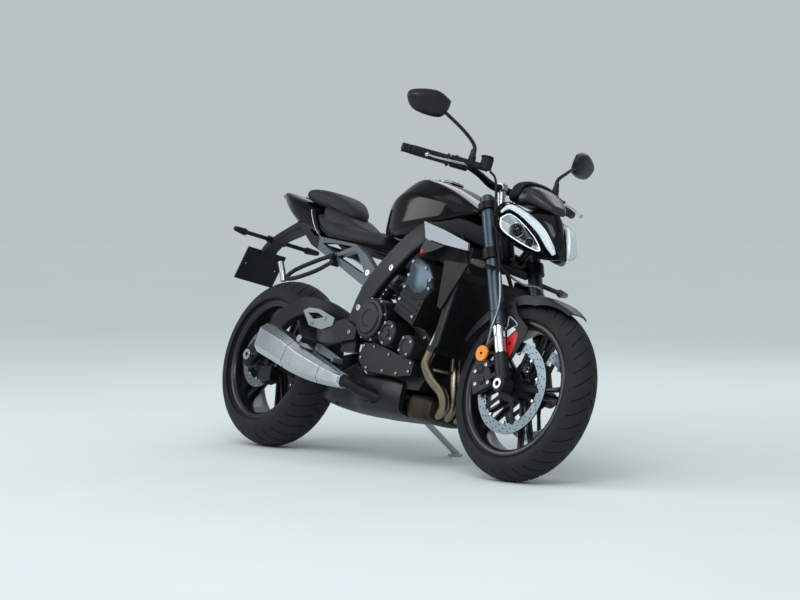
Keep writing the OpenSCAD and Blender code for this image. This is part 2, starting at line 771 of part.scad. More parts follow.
// Cooling
rad_low = [1060, 0, 385];
rad_top = [1112, 0, 672];
module radiator() {
    top = [rad_top.x, rad_top.z];
    shroud = [top + [-60, 28], top + [68, 18], top + [-30, -142], top + [-50, -132]];
    core_half = 158;
    height = norm(rad_top - rad_low);
    tilt = atan2(rad_top.x - rad_low.x, rad_top.z - rad_low.z);
    color(black) parked() union() {
        translate(rad_low) rotate([0, tilt, 0]) {
            translate([0, -core_half, 0]) cube([26, 2 * core_half, height]);
            translate([-6, -core_half - 8, height - 26]) cube([38, 2 * core_half + 16, 26]);
            translate([-6, -core_half - 8, 0]) cube([38, 2 * core_half + 16, 20]);
        }
        both_sides() {
            slab(shroud, core_half - 1, core_half + 8);
            difference() {
                rod(rad_top + [6, 96, -8], [1006, 84, 826], 7);
                spars(rest_gap);
            }
        }
    }
}

module side_panels() {
    upper = [[884, 838], [910, 778], [1020, 756], [1150, 738], [1146, 764], [1010, 806]];
    lower = [[912, 774], [1016, 752], [960, 734], [900, 722], [890, 742]];
    color(silver) parked() both_sides() difference() {
        union() {
            slab(upper, 148, 156);
            slab(lower, 146, 153);
            translate([926, 0, 772]) across(144, 152, 9);
            translate([905, 0, 812]) across(126, 150, 9);
        }
        spars(rest_gap);
    }
}

// Tank, seats and tail
tank_rear = 562;
module fuel_tank() {
    color(black) parked() difference() {
        body([[tank_rear, 800, 826, 62, 0], [590, 792, 905, 92, 0], [640, 782, 975, 122, 0],
            [700, 776, tank_top - 4, tank_half, 0], [780, 786, tank_top, tank_half + 4, 0],
            [880, 812, tank_top - 24, tank_half, 0], [970, 846, tank_top - 62, tank_half - 18, 0],
            [1050, 880, tank_top - 104, tank_half - 52, 0], [1072, 884, tank_top - 118, tank_half - 80, 0]],
            top_power = 2.7, low_power = 5, steps = 3, sides = 28);
        spars(rest_gap);
        head_tube(8);
    }
}

air_box_half = 68;
module air_box() {
    rear = cross_tube_at.x + cross_tube_r + rest_gap;
    color(black) parked() slab([[rear, 666], [rear, 762], [780, 772], [880, 800], [960, 830], [985, 772], [1066, 770],
        [1066, 700], [1060, 652], [1006, 652], [966, 688], [884, 719], [846, 717], [828, 664]],
        -air_box_half, air_box_half);
}

seat_back = raised([[158, 830, 897, 92, -0.71]])[0];
bolster_line = raised([[190, 836, 912, 86, -0.3], [226, 806, 904, 98, -0.2], [272, 790, 888, 94, -0.1],
    [318, 782, 868, 82, 0], [360, 780, 850, 66, 0], [392, 780, 834, 48, 0]]);
module rider_seat() {
    color(rubber) parked() difference() {
        union() {
            body(bolster_line, top_power = 4, low_power = 4);
            body([seat_back, [222, seat_height - 38, seat_height + 50, 112, -0.5],
                [300, seat_height - 54, seat_height + 22, 124, -0.3], [400, seat_height - 66, seat_height, 126, -0.1],
                [480, seat_height - 72, seat_height - 6, 108, 0], [548, seat_height - 72, seat_height - 10, 78, 0],
                [tank_rear - rest_gap, seat_height - 66, seat_height - 16, 60, 0]],
                top_power = 3, low_power = 4, steps = 3);
        }
        body(grown(pillion_line, rest_gap), top_power = 3, low_power = 6);
        rails(rest_gap);
        translate([seat_bar.x, 0, seat_bar.y]) across(-106, 106, 12 + rest_gap);
    }
}

function grown(stations, g) = [for (s = stations) [s[0], s[1] - g, s[2] + g, s[3] + g, s[4]]];
pillion_line = raised([[4, 944, 976, 56, -0.3], [40, 930, 982, 78, -0.3], [110, 912, 979, 92, -0.2],
    [190, 896, 966, 88, 0], [244, 878, 945, 74, 0], [284, 868, 918, 54, 0], [304, 868, 896, 36, 0]]);
module pillion_seat() {
    color(rubber) parked() body(pillion_line, top_power = 3, low_power = 6);
}

tail_end = [seat_back[1] - 55, seat_back[2] + 4];
tail_ahead = seat_back[4] * (tail_end[0] + tail_end[1] - seat_back[1] - seat_back[2]) / 2;
tail_line = concat(raised([[-150, 938, 966, 42, -0.6], [-104, 896, 970, 66, -0.6], [-20, 838, 954, 90, -0.7],
    [80, 796, 934, 98, -0.7]]),
    [[seat_back[0] + tail_ahead - 3 * rest_gap, tail_end[0], tail_end[1], 100, seat_back[4]]]);
module tail_body(grow = 0) {
    body(grown(tail_line, grow), top_power = 4, low_power = 3, steps = 3);
}
module tail_cowl() {
    color(black) parked() difference() {
        tail_body();
        rails(rest_gap);
        body(grown(pillion_line, rest_gap), top_power = 3, low_power = 6);
    }
}

module tail_light() {
    color(red) parked() body(raised([[-172, 948, 966, 28, -0.6], [-164, 941, 966, 40, -0.6],
        [-150 - rest_gap, 938, 966, 42, -0.6]]), top_power = 4, low_power = 3, steps = 1);
}

plate_top = [-252, 0, 742 + seat_rise];
plate_tilt = 24;
indicator_at = [-210, 0, 786 + seat_rise];
module plate_holder() {
    thick = 6;
    color(black) parked() difference() {
        union() {
            translate([0, 0, seat_rise]) beam([[20, 0, 872, 34, 16], [-40, 0, 846, 34, 16], [-100, 0, 824, 32, 14],
                [-176, 0, 796, 28, 13], [-236, 0, 756, 30, 12], [-252, 0, 728, 32, 8]], steps = 2);
            translate(plate_top) rotate([0, plate_tilt, 0]) translate([-thick, -plate_w / 2, -plate_h])
                cube([thick, plate_w, plate_h]);
            translate(indicator_at) across(-40, 40, 14);
        }
        translate(plate_top) rotate([0, plate_tilt, 0]) both_sides()
            translate([-thick - 40, plate_hole_spacing / 2, -plate_h / 2]) rotate([0, 90, 0])
            cylinder(h = 80, r = plate_hole_r, $fn = round_fn);
        tail_body(rest_gap);
    }
}

module rear_indicators() {
    color(amber) parked() both_sides() translate(indicator_at) union() {
        across(40 + rest_gap, 150, 8);
        hull() {
            translate([-2, 152, 0]) sphere(14, $fn = 24);
            translate([4, 196, 1]) sphere(10, $fn = 24);
        }
    }
}

// Rear suspension
right_arm = [[590, -82, 430, 14, 32], [500, -94, 462, 15, 36], [400, -124, 502, 16, 36],
    [300, -138, 516, 16, 35], [190, -138, 486, 16, 36], [90, -138, 406, 16, 36], [-4, -138, 318, 16, 34],
    [-40, -138, 300, 16, 26]];
left_arm = [[590, 82, 430, 14, 32], [480, 92, 408, 15, 34], [380, 114, 386, 16, 34], [290, 140, 370, 16, 34],
    [120, 140, 338, 16, 34], [-4, 140, 315, 16, 34], [-40, 140, 308, 16, 26]];
arm_in = 122;
module swingarm() {
    color(graphite) parked() difference() {
        union() {
            beam(right_arm, steps = 3);
            beam(left_arm, steps = 3);
            translate(pivot_at) across(-96, 96, 32);
            translate([430, 0, 452]) across(-106, 100, 30);
        }
        translate(pivot_at) across(-200, 200, pivot_bolt_r + rest_gap);
        translate(rear_axle_at) across(-200, 200, axle_r + run_gap);
    }
}

module rear_axle() {
    collar_r = 20;
    color(steel) rear_wheel_frame() difference() {
        union() {
            across(-160, 162, axle_r);
            across(-121.5, -rear_hub_half - 0.5, collar_r);
            across(rear_hub_half + 0.5, 123.5, collar_r);
            across(-168, -154.5, collar_r);
            across(156.5, 166, collar_r);
        }
        across(-200, 200, axle_hole_r);
    }
}

module rear_caliper() {
    outline = [[40, -30], [112, -30], [116, -82], [70, -96], [40, -76]];
    slot = disc_thick / 2 + 5;
    disc_mid = -rear_disc_at - disc_thick / 2;
    color(graphite) rear_wheel_frame() union() {
        difference() {
            slab(outline, disc_mid - 24, disc_mid + 22);
            translate([0, disc_mid - slot, 0]) rotate([-90, 0, 0])
                cylinder(h = 2 * slot, r = rear_disc_r + 5, $fn = wheel_fn);
        }
        translate([70, -arm_in + rest_gap, -60]) rotate([0, -20, 0]) cube([26, 8, 110]);
    }
}

front_sprocket_at = [640, 428];
function chain_loop(grow, run, slope, taper, steps) = concat(
    [for (k = [0:steps]) let (a = slope + 90 - taper + (180 + 2 * taper) * k / steps)
        (rear_sprocket_r + grow) * [cos(a), sin(a)]],
    [for (k = [0:steps]) let (a = slope - 90 + taper + (180 - 2 * taper) * k / steps)
        run + (front_sprocket_r + grow) * [cos(a), sin(a)]]);

module chain() {
    run = [front_sprocket_at.x, front_sprocket_at.y - rear_tyre_r];
    slope = atan2(run.y, run.x);
    taper = asin((rear_sprocket_r - front_sprocket_r) / norm(run));
    color(steel) parked() translate([0, chain_line + chain_w / 2, rear_tyre_r]) rotate([90, 0, 0])
        linear_extrude(chain_w) difference() {
            polygon(chain_loop(chain_half, run, slope, taper, 24));
            polygon(chain_loop(-chain_half, run, slope, taper, 24));
        }
}

module rear_shock() {
    low = [480, 0, 478];
    high = [606, 0, 668];
    way = unit(high - low);
    length = norm(high - low);
    coils = 7;
    color(steel) parked() difference() {
        union() {
            rod(low, high, 20);
            for (i = [1:coils]) rod(low + way * (length * i / (coils + 1) - 7),
                low + way * (length * i / (coils + 1) + 7), 31);
            translate(high) across(-16, 16, 22);
            rod(high, [700, 0, 676], 10);
        }
        translate([700, 0, 676]) across(-60, 60, 18 + rest_gap);
        translate([430, 0, 452]) across(-60, 60, 30 + rest_gap);
    }
}

// Exhaust
outer_pipe = [[998, 92, 612], [1030, 94, 584], [1026, 96, 480], [1006, 108, 392], [1000, 112, 346], [1020, 92, 300],
    [1050, 58, 258], [1056, 44, 212], [1020, 42, 186], [960, 42, 190]];
mid_pipe = [[998, 0, 612], [1030, 0, 584], [1028, -4, 480], [1024, -12, 390], [1048, -16, 310], [1060, -10, 232],
    [1024, 0, 186], [960, 0, 190]];
link_pipe = [[920, -50, 206], [850, -56, 206], [780, -84, 210], [724, -150, 226], [696, -188, 241], [668, -207, 250]];
link_r = 20;
module exhaust_headers() {
    color(steel) parked() difference() {
        union() {
            both_sides() tube(outer_pipe, pipe_r);
            tube(mid_pipe, pipe_r);
            body([[900, 172, 240, 70, 0], [930, 158, 248, 92, 0], [1000, 156, 242, 92, 0],
                [1030, 166, 226, 78, 0]], top_power = 5, low_power = 5, steps = 1);
            tube(link_pipe, link_r);
        }
        slab(block_side, -head_half - 1, head_half + 1);
        slab([[632, 256 - rest_gap], [632, 500], [812, 530], [930, 470 + rest_gap], [1004 + rest_gap, 420 + rest_gap],
            [1012 + rest_gap, 320], [968 + rest_gap, 256 - rest_gap]], -case_half - rest_gap, case_half + rest_gap);
    }
}

module silencer() {
    color(silver) parked() difference() {
        beam([[690, -208, 247, 24, 24], [640, -208, 252, 30, 30], [540, -210, 272, 42, 42],
            [430, -212, 300, 50, 50], [320, -212, 336, 54, 56], [180, -210, 372, 50, 56]], cut = 0.45, steps = 2);
        translate([100, -300, 300]) rotate([0, -40, 0]) translate([-120, 0, -100]) cube([140, 200, 300]);
        tube(link_pipe, link_r + rest_gap);
    }
}

module belly_pan() {
    color(black) parked() difference() {
        body([[372, 198, 226, 58, 0], [420, 184, 240, 82, 0], [482, 172, 288, 98, 0], [560, 162, 334, 101, 0],
            [616, 160, 338, 103, 0], [664, 159, 302, 112, 0], [700, 158, 300, 116, 0], [830, 158, 296, 116, 0],
            [894, 164, 286, 112, 0]], top_power = 6, low_power = 4);
        translate([504, -88, 182]) cube([420, 176, 200]);
        slab([[600, 256 - rest_gap], [600, 500], [1012, 400], [968, 256 - rest_gap]], -case_half - rest_gap,
            case_half + rest_gap);
        tube(link_pipe, 24);
    }
}

// Foot controls
hanger_out = 158;
peg_at = [430, 378];
module footrests() {
    hanger = [[566, 474], [640, 446], [640, 404], [560, 392], [440, 360], [416, 372], [420, 396], [404, 446],
        [440, 472], [500, 462]];
    color(black) parked() both_sides() union() {
        slab(hanger, hanger_out, hanger_out + 9);
        translate([606, 0, 428]) across(152 + rest_gap, hanger_out + 2, 14);
        translate([peg_at.x, 0, peg_at.y]) across(hanger_out + 4, hanger_out + 88, 11);
    }
}

module heel_guards() {
    guard = [[306, 494], [340, 506], [404, 503], [504, 474], [500, 444], [440, 428], [360, 440]];
    slot = [[340, 486], [400, 488], [440, 474], [380, 464]];
    color(silver) parked() both_sides() difference() {
        slab(guard, hanger_out + 9 + rest_gap, hanger_out + 14);
        slab(slot, hanger_out, hanger_out + 20);
    }
}

module foot_pedals() {
    out = hanger_out + 9 + rest_gap;
    color(silver) parked() both_sides() union() {
        slab([[436, 350], [440, 372], [462, 374], [600, 328], [604, 310], [520, 328]], out + 1, out + 10);
        translate([600, 0, 318]) across(out + 4, out + 46, 8);
        translate([450, 0, 362]) across(out, out + 12, 14);
    }
}

module pillion_hangers() {
    tip = [172, 188, 604];
    color(black) parked() translate([0, 0, seat_rise]) both_sides() union() {
        tube([[352, 125.6 + 9, 706], [300, 146, 688], [210, 178, 640], tip], 8, steps = 3, sides = 10);
        tube([[366, 125.6 + 9, 684], [300, 150, 646], [220, 178, 610], tip], 8, steps = 3, sides = 10);
        difference() {
            union() {
                rod([352, 100, 706], [352, 138, 706], 12);
                rod([366, 100, 684], [366, 138, 684], 12);
            }
            translate([0, 0, -seat_rise]) rails(rest_gap);
            translate([200, 0, 600]) cube([300, 106, 200]);
        }
        rod([170, 190, 596], [140, 198, 662], 10);
    }
}

// Side stand, its pivot on a slanted pin so that the leg folds back along the machine
stand_pivot = [690, 140, 205];
stand_axis = unit([0, 0.466, 0.885]);
stand_foot = [stand_pivot.x + 16 - middle.x, stand_reach - middle.y, 0];
stand_root = parked_at(stand_pivot);
stand_axis_parked = leaned(about(stand_axis, [0, 1, 0], pitch));
module stand_bracket() {
    color(black) parked() difference() {
        union() {
            difference() {
                beam([[596, 137, 392, 14, 24], [620, 138, 330, 12, 22], [660, 140, 260, 12, 22],
                    [690, 140 + 20 * stand_axis.y, 205 + 22 * stand_axis.z, 12, 16]], steps = 2);
                rod(stand_pivot - stand_axis * 40, stand_pivot + stand_axis * 14, 44);
            }
            rod(stand_pivot + stand_axis * 13.4, stand_pivot + stand_axis * 32, 18);
            rod(stand_pivot - stand_axis * 18, stand_pivot + stand_axis * 28, stand_pin_r);
        }
        spars(rest_gap);
    }
}

module side_stand() {
    leg_foot = stand_foot + [0, 0, 14];
    color(silver) difference() {
        union() {
            rod(stand_root - stand_axis_parked * 12, stand_root + stand_axis_parked * 12, 17);
            rod(stand_root + unit(leg_foot - stand_root) * 12, leg_foot, stand_leg_r);
            translate(stand_foot) cylinder(h = 9, r = foot_r, $fn = round_fn);
            translate(stand_foot) cylinder(h = 20, r = stand_leg_r + 3, $fn = round_fn);
        }
        rod(stand_root - stand_axis_parked * 40, stand_root + stand_axis_parked * 40, stand_pin_r + run_gap);
    }
}

front_tyre();
front_rim();
front_discs();
front_axle();
fork_tubes();
fork_bottoms();
yokes();
handlebar();
grips();
bar_controls();
levers();
mirrors();
headlamps();
headlamp_cowl();
instrument();
front_mudguard();
front_calipers();
brake_hoses();
front_reflectors();
front_indicators();
main_frame();
subframe();
engine();
engine_covers();
radiator();
side_panels();
fuel_tank();
air_box();
rider_seat();
pillion_seat();
tail_cowl();
tail_light();
plate_holder();
rear_indicators();
swingarm();
rear_axle();
rear_caliper();
chain();
rear_shock();
exhaust_headers();
silencer();
belly_pan();
footrests();
heel_guards();
foot_pedals();
pillion_hangers();
stand_bracket();
side_stand();
rear_tyre();
rear_rim();
rear_disc();
rear_sprocket();
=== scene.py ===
import json
import math

import bmesh
import bpy
from mathutils import Matrix, Vector


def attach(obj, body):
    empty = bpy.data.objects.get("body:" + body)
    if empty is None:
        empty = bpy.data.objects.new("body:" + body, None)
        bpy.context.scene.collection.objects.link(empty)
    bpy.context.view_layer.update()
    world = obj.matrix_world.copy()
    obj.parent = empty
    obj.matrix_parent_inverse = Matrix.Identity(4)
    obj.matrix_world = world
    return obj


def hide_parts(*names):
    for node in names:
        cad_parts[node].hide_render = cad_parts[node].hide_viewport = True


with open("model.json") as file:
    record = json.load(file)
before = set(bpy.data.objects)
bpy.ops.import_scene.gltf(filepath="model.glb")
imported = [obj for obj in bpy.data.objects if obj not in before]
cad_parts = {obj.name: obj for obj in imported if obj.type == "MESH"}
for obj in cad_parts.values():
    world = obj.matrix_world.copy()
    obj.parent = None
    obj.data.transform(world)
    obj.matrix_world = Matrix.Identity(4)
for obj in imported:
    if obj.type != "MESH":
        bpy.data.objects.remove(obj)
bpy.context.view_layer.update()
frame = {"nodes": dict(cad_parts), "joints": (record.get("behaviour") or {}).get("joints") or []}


# Studio: a matt painted floor that runs on into a pale wall, under three wide soft boxes.
# The lamps are large and near, so gloss paint shows long soft edges and no hard points.
def linear(code):
    """Turns an sRGB hex colour into linear light."""
    channels = [int(code[k:k + 2], 16) / 255 for k in (1, 3, 5)]
    return [c / 12.92 if c <= 0.04045 else ((c + 0.055) / 1.055) ** 2.4 for c in channels] + [1.0]


def add_node(owner, kind, inputs=None, **settings):
    """Adds one node; an input is a plain value or the output that feeds it."""
    made = owner.node_tree.nodes.new(kind)
    for name, value in settings.items():
        setattr(made, name, value)
    for name, value in (inputs or {}).items():
        if isinstance(value, bpy.types.NodeSocket):
            owner.node_tree.links.new(value, made.inputs[name])
        else:
            made.inputs[name].default_value = value
    return made


scene = bpy.context.scene
scene.view_settings.view_transform = "Standard"
studio = bpy.data.worlds.new("pale_studio")
scene.world = studio
studio.use_nodes = True
ray = add_node(studio, "ShaderNodeLightPath").outputs
seen = add_node(studio, "ShaderNodeMath", {0: ray["Is Camera Ray"], 1: ray["Is Glossy Ray"]},
                operation="MAXIMUM")
seen = add_node(studio, "ShaderNodeMath", {0: seen.outputs[0], 1: ray["Is Transmission Ray"]},
                operation="MAXIMUM")
fill = add_node(studio, "ShaderNodeBackground", {"Color": linear("#e9eff1"), "Strength": 0.5})
outlook = add_node(studio, "ShaderNodeTexCoord").outputs["Generated"]
height = add_node(studio, "ShaderNodeSeparateXYZ", {0: outlook}).outputs["Z"]
wash = add_node(studio, "ShaderNodeValToRGB", {"Fac": height})
wash.color_ramp.elements[0].color, wash.color_ramp.elements[1].color = linear("#d3dcde"), linear("#7f8d93")
wash.color_ramp.elements[0].position, wash.color_ramp.elements[1].position = 0.08, 0.65
wall = add_node(studio, "ShaderNodeBackground", {"Color": wash.outputs["Color"], "Strength": 0.757})
both = add_node(studio, "ShaderNodeMixShader", {0: seen.outputs[0], 1: fill.outputs[0], 2: wall.outputs[0]})
studio.node_tree.links.new(both.outputs[0], studio.node_tree.nodes["World Output"].inputs["Surface"])

for name, place, aim, size, watts in (
        ("key_box", (3.2, -3.4, 4.2), (0, 0, 0.6), (3.2, 2.0), 105),
        ("side_box", (-3.0, -3.6, 2.6), (-0.2, 0, 0.5), (2.6, 1.6), 50),
        ("back_box", (-2.4, 3.8, 3.6), (0, 0, 0.6), (4.0, 1.6), 42)):
    lamp = bpy.data.lights.new(name, "AREA")
    lamp.shape = "RECTANGLE"
    lamp.size, lamp.size_y = size
    lamp.energy = watts
    holder = bpy.data.objects.new(name, lamp)
    scene.collection.objects.link(holder)
    turn = (Vector(aim) - Vector(place)).to_track_quat("-Z", "Y")
    holder.matrix_world = Matrix.Translation(place) @ turn.to_matrix().to_4x4()

sky = bpy.data.lights.new("ceiling", "SUN")
sky.energy = 1.2
sky.angle = math.radians(100)
holder = bpy.data.objects.new("ceiling", sky)
scene.collection.objects.link(holder)
holder.rotation_euler = (math.radians(25), math.radians(12), 0.0)

bm = bmesh.new()
bmesh.ops.create_circle(bm, cap_ends=True, segments=96, radius=40.0)
mesh = bpy.data.meshes.new("floor")
bm.to_mesh(mesh)
bm.free()
floor = bpy.data.objects.new("floor", mesh)
scene.collection.objects.link(floor)
floor_paint = bpy.data.materials.new("matt_floor_paint")
floor_paint.use_nodes = True
shader = floor_paint.node_tree.nodes["Principled BSDF"]
place = add_node(floor_paint, "ShaderNodeTexCoord").outputs["Object"]
mottle = add_node(floor_paint, "ShaderNodeTexNoise", {"Vector": place, "Scale": 1.2, "Detail": 5.0})
tone = add_node(floor_paint, "ShaderNodeValToRGB", {"Fac": mottle.outputs["Fac"]})
tone.color_ramp.elements[0].color = linear("#d0d9db")
tone.color_ramp.elements[1].color = linear("#d6dfe1")
floor_paint.node_tree.links.new(tone.outputs["Color"], shader.inputs["Base Color"])
shader.inputs["Roughness"].default_value = 0.9
shader.inputs["Specular IOR Level"].default_value = 0.0
mesh.materials.append(floor_paint)

eye = bpy.data.cameras.new("photo_view")
eye.sensor_width = 36.0
eye.sensor_fit = "HORIZONTAL"
eye.lens = 106.56
eye.clip_end = 200.0
camera = bpy.data.objects.new("photo_view", eye)
scene.collection.objects.link(camera)
camera.location = (6.6175, -5.3081, 0.9362)
camera.rotation_euler = (math.radians(87.5), 0.0, math.radians(52.2))
scene.camera = camera

# The machine's own upright frame, in millimetres from the ground under the rear axle, as it is drawn.
# The axles and the steering axis of the solids give its lean; the fork is parked a little to the left.
RAKE = math.radians(23.7)
PARKED_STEER = math.radians(3.3)
WHEELBASE, FRONT_RADIUS, REAR_RADIUS = 1402, 300, 315
AS_DRAWN = Matrix.Identity(4)
hinges = {hinge["name"]: hinge for hinge in frame["joints"]}
left = Vector(hinges["rear_wheel_spin"]["axis"]).normalized()
stem = Vector(hinges["steering"]["axis"]).normalized()
ahead = left.cross(stem)
forward = ahead * math.cos(RAKE) - stem * math.sin(RAKE)
upward = ahead * math.sin(RAKE) + stem * math.cos(RAKE)
ground = Vector(hinges["rear_wheel_spin"]["pos_m"]) - upward * REAR_RADIUS / 1000
machine = Matrix.Translation(ground) @ Matrix((forward, left,
                                               upward)).transposed().to_4x4() @ Matrix.Scale(0.001, 4)
pivot = Matrix.Translation(hinges["steering"]["pos_m"])
steered = pivot @ Matrix.Rotation(PARKED_STEER, 4, stem) @ pivot.inverted() @ machine
front_hub = steered @ Matrix.Translation((WHEELBASE, 0, FRONT_RADIUS))
rear_hub = machine @ Matrix.Translation((0, 0, REAR_RADIUS))
fork = front_hub @ Matrix.Rotation(-RAKE, 4, "Y")


# Tyres: radial road tyres of black rubber, cured in a mould that leaves slanted rain grooves.
# The tread is dull and faintly dusty, and the walls carry fine rings near the bead.
def finish(name, colour, tint, grain, rough, bump=0.0, metallic=0.0, **sockets):
    """A surface with a fine mottle of two close colours, its roughness and a little relief; sizes in mm."""
    made = bpy.data.materials.new(name)
    made.use_nodes = True
    surface = made.node_tree.nodes["Principled BSDF"]
    at = add_node(made, "ShaderNodeTexCoord").outputs["Object"]
    fine = add_node(made, "ShaderNodeTexNoise", {"Vector": at, "Scale": 1000 / grain,
                                                 "Detail": 4.0}).outputs["Fac"]
    broad = add_node(made, "ShaderNodeTexNoise", {"Vector": at, "Scale": 1000 / 90,
                                                  "Detail": 3.0}).outputs["Fac"]
    shade = add_node(made, "ShaderNodeValToRGB", {"Fac": fine})
    shade.color_ramp.elements[0].position, shade.color_ramp.elements[1].position = 0.3, 0.7
    shade.color_ramp.elements[0].color, shade.color_ramp.elements[1].color = linear(tint), linear(colour)
    worn = add_node(made, "ShaderNodeMath", {0: fine, 1: broad}, operation="ADD").outputs[0]
    dull = add_node(made, "ShaderNodeMapRange", {
        "Value": worn, "From Min": 0.7, "From Max": 1.3, "To Min": rough[0], "To Max": rough[1]})
    made.node_tree.links.new(shade.outputs["Color"], surface.inputs["Base Color"])
    made.node_tree.links.new(dull.outputs["Result"], surface.inputs["Roughness"])
    if bump:
        relief = add_node(made, "ShaderNodeBump", {"Height": fine, "Strength": bump,
                                                   "Distance": grain / 4000})
        made.node_tree.links.new(relief.outputs["Normal"], surface.inputs["Normal"])
    surface.inputs["Metallic"].default_value = metallic
    surface.inputs["Specular IOR Level"].default_value = 0.28
    for socket, value in sockets.items():
        surface.inputs[socket.replace("_", " ")].default_value = value
    return made


def spun(bm, outline, steps=96, closed=True):
    """Turns an outline of radius and place along the axle about that axle, which is Y."""
    points = [bm.verts.new((r, y, 0)) for r, y in outline]
    edges = [bm.edges.new(pair) for pair in zip(points, points[1:] + points[:1] if closed else points[1:])]
    bmesh.ops.spin(bm, geom=points + edges, cent=(0, 0, 0), axis=(0, 1, 0), angle=math.tau, steps=steps,
                   use_merge=True)
    bmesh.ops.remove_doubles(bm, verts=bm.verts, dist=0.002)


def through(points, steps):
    """A smooth row of points through the given ones."""
    rows = [Vector(p) for p in points]
    made = []
    for i in range(len(rows) - 1):
        a, b, c, d = rows[max(i - 1, 0)], rows[i], rows[i + 1], rows[min(i + 2, len(rows) - 1)]
        for t in (k / steps for k in range(steps)):
            made.append(0.5 * (2 * b + (c - a) * t + (2 * a - 5 * b + 4 * c - d) * t * t
                               + (3 * b - a - 3 * c + d) * t ** 3))
    return made + [rows[-1]]


def fitted(name, bm, place, body, finishes, smooth=35, edge=0.0):
    """Puts a finished mesh in its place, rounds its edges, and lets it ride with its body.

    A name that ends in _dressed replaces the solid that the rest of it names.
    """
    bmesh.ops.recalc_face_normals(bm, faces=bm.faces)
    bmesh.ops.transform(bm, matrix=place, verts=bm.verts)
    mesh = bpy.data.meshes.new(name)
    bm.to_mesh(mesh)
    bm.free()
    for each in finishes:
        mesh.materials.append(each)
    mesh.shade_smooth()
    mesh.set_sharp_from_angle(angle=math.radians(smooth))
    made = bpy.data.objects.new(name, mesh)
    scene.collection.objects.link(made)
    if edge:
        round_over = made.modifiers.new("rounded_edges", "BEVEL")
        round_over.width = edge / 1000
        round_over.segments = 2
        round_over.limit_method = "ANGLE"
        round_over.angle_limit = math.radians(smooth)
    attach(made, body)
    if name.endswith("_dressed"):
        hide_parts(name.removesuffix("_dressed"))
    return made


# Carbon-black rubber, moulded: nearly matt, with a very fine pebble and a grey bloom.
tyre_rubber = finish("moulded_tyre_rubber", "#1c1d1f", "#141517", 1.2, (0.62, 0.85), bump=0.25,
                     Specular_IOR_Level=0.35)


def treaded_tyre(name, hub, body, radius, width, round_of_crown):
    """A tyre with its rain grooves pressed in; the crown is an arc of the given radius."""
    half, rim, pitches, lanes = width / 2, 217.3, 36, 9
    reach = math.asin(half / round_of_crown)
    crown = [(radius - round_of_crown + round_of_crown * math.cos(a), round_of_crown * math.sin(a))
             for a in (reach * k / 14 for k in range(-14, 15))]
    wall = through([(crown[-1][0], half), ((crown[-1][0] + rim) / 2, half * 0.99), (rim + 22, half * 0.86),
                    (rim + 12, half * 0.83), (rim, half * 0.8)], 4)
    raised = (9, 11)
    wall = [(p[0] + 0.7, p[1] + 0.9) if k in raised else (p[0], p[1]) for k, p in enumerate(wall)]
    bm = bmesh.new()
    spun(bm, [(r, -y) for r, y in reversed(wall[1:])] + crown + wall[1:], pitches * lanes)
    bm.normal_update()
    grooves = []
    for face in bm.faces:
        middle = face.calc_center_median()
        across = middle.y / half
        lane = int((math.atan2(middle.z, middle.x) % math.tau) / math.tau * pitches * lanes)
        wanted = 0 if across > 0 else lanes // 2
        on_crown = math.hypot(middle.x, middle.z) > crown[-1][0]
        if on_crown and lane % lanes == wanted and 0.04 < abs(across) < 0.88:
            grooves.append(face)
    for vert in bm.verts:
        slant = min(abs(vert.co.y) / half, 1.0)
        vert.co = Matrix.Rotation(math.radians(11) * slant, 3, "Y") @ vert.co
    bmesh.ops.recalc_face_normals(bm, faces=bm.faces)
    bmesh.ops.inset_region(bm, faces=grooves, thickness=1.1, depth=-3.6, use_even_offset=True,
                           use_boundary=True)
    return fitted(name, bm, hub, body, [tyre_rubber], smooth=40)


treaded_tyre("front_tyre_dressed", front_hub, "front_wheel", FRONT_RADIUS, 120, 120 * 0.52)
treaded_tyre("rear_tyre_dressed", rear_hub, "rear_wheel", REAR_RADIUS, 180, 180 * 0.53)

# Wheels: cast aluminium, five double spokes from the hub to a drop-centre rim, in satin black paint.
# The paint is smooth but not mirror bright, and the rim's lips are thicker than the spokes.
wheel_paint = finish("satin_black_wheel_paint", "#0f1012", "#0b0c0d", 2.5, (0.26, 0.42), bump=0.04,
                     Coat_Weight=0.3,
                     Coat_Roughness=0.15)


def loft(bm, rings):
    """Bridges closed rings of points in turn and closes both ends."""
    loops = []
    for ring in rings:
        points = [bm.verts.new(p) for p in ring]
        loops.append([bm.edges.new(pair) for pair in zip(points, points[1:] + points[:1])])
    for near, far in zip(loops, loops[1:]):
        bmesh.ops.bridge_loops(bm, edges=near + far)
    for end in (loops[0], loops[-1]):
        bmesh.ops.contextual_create(bm, geom=end)


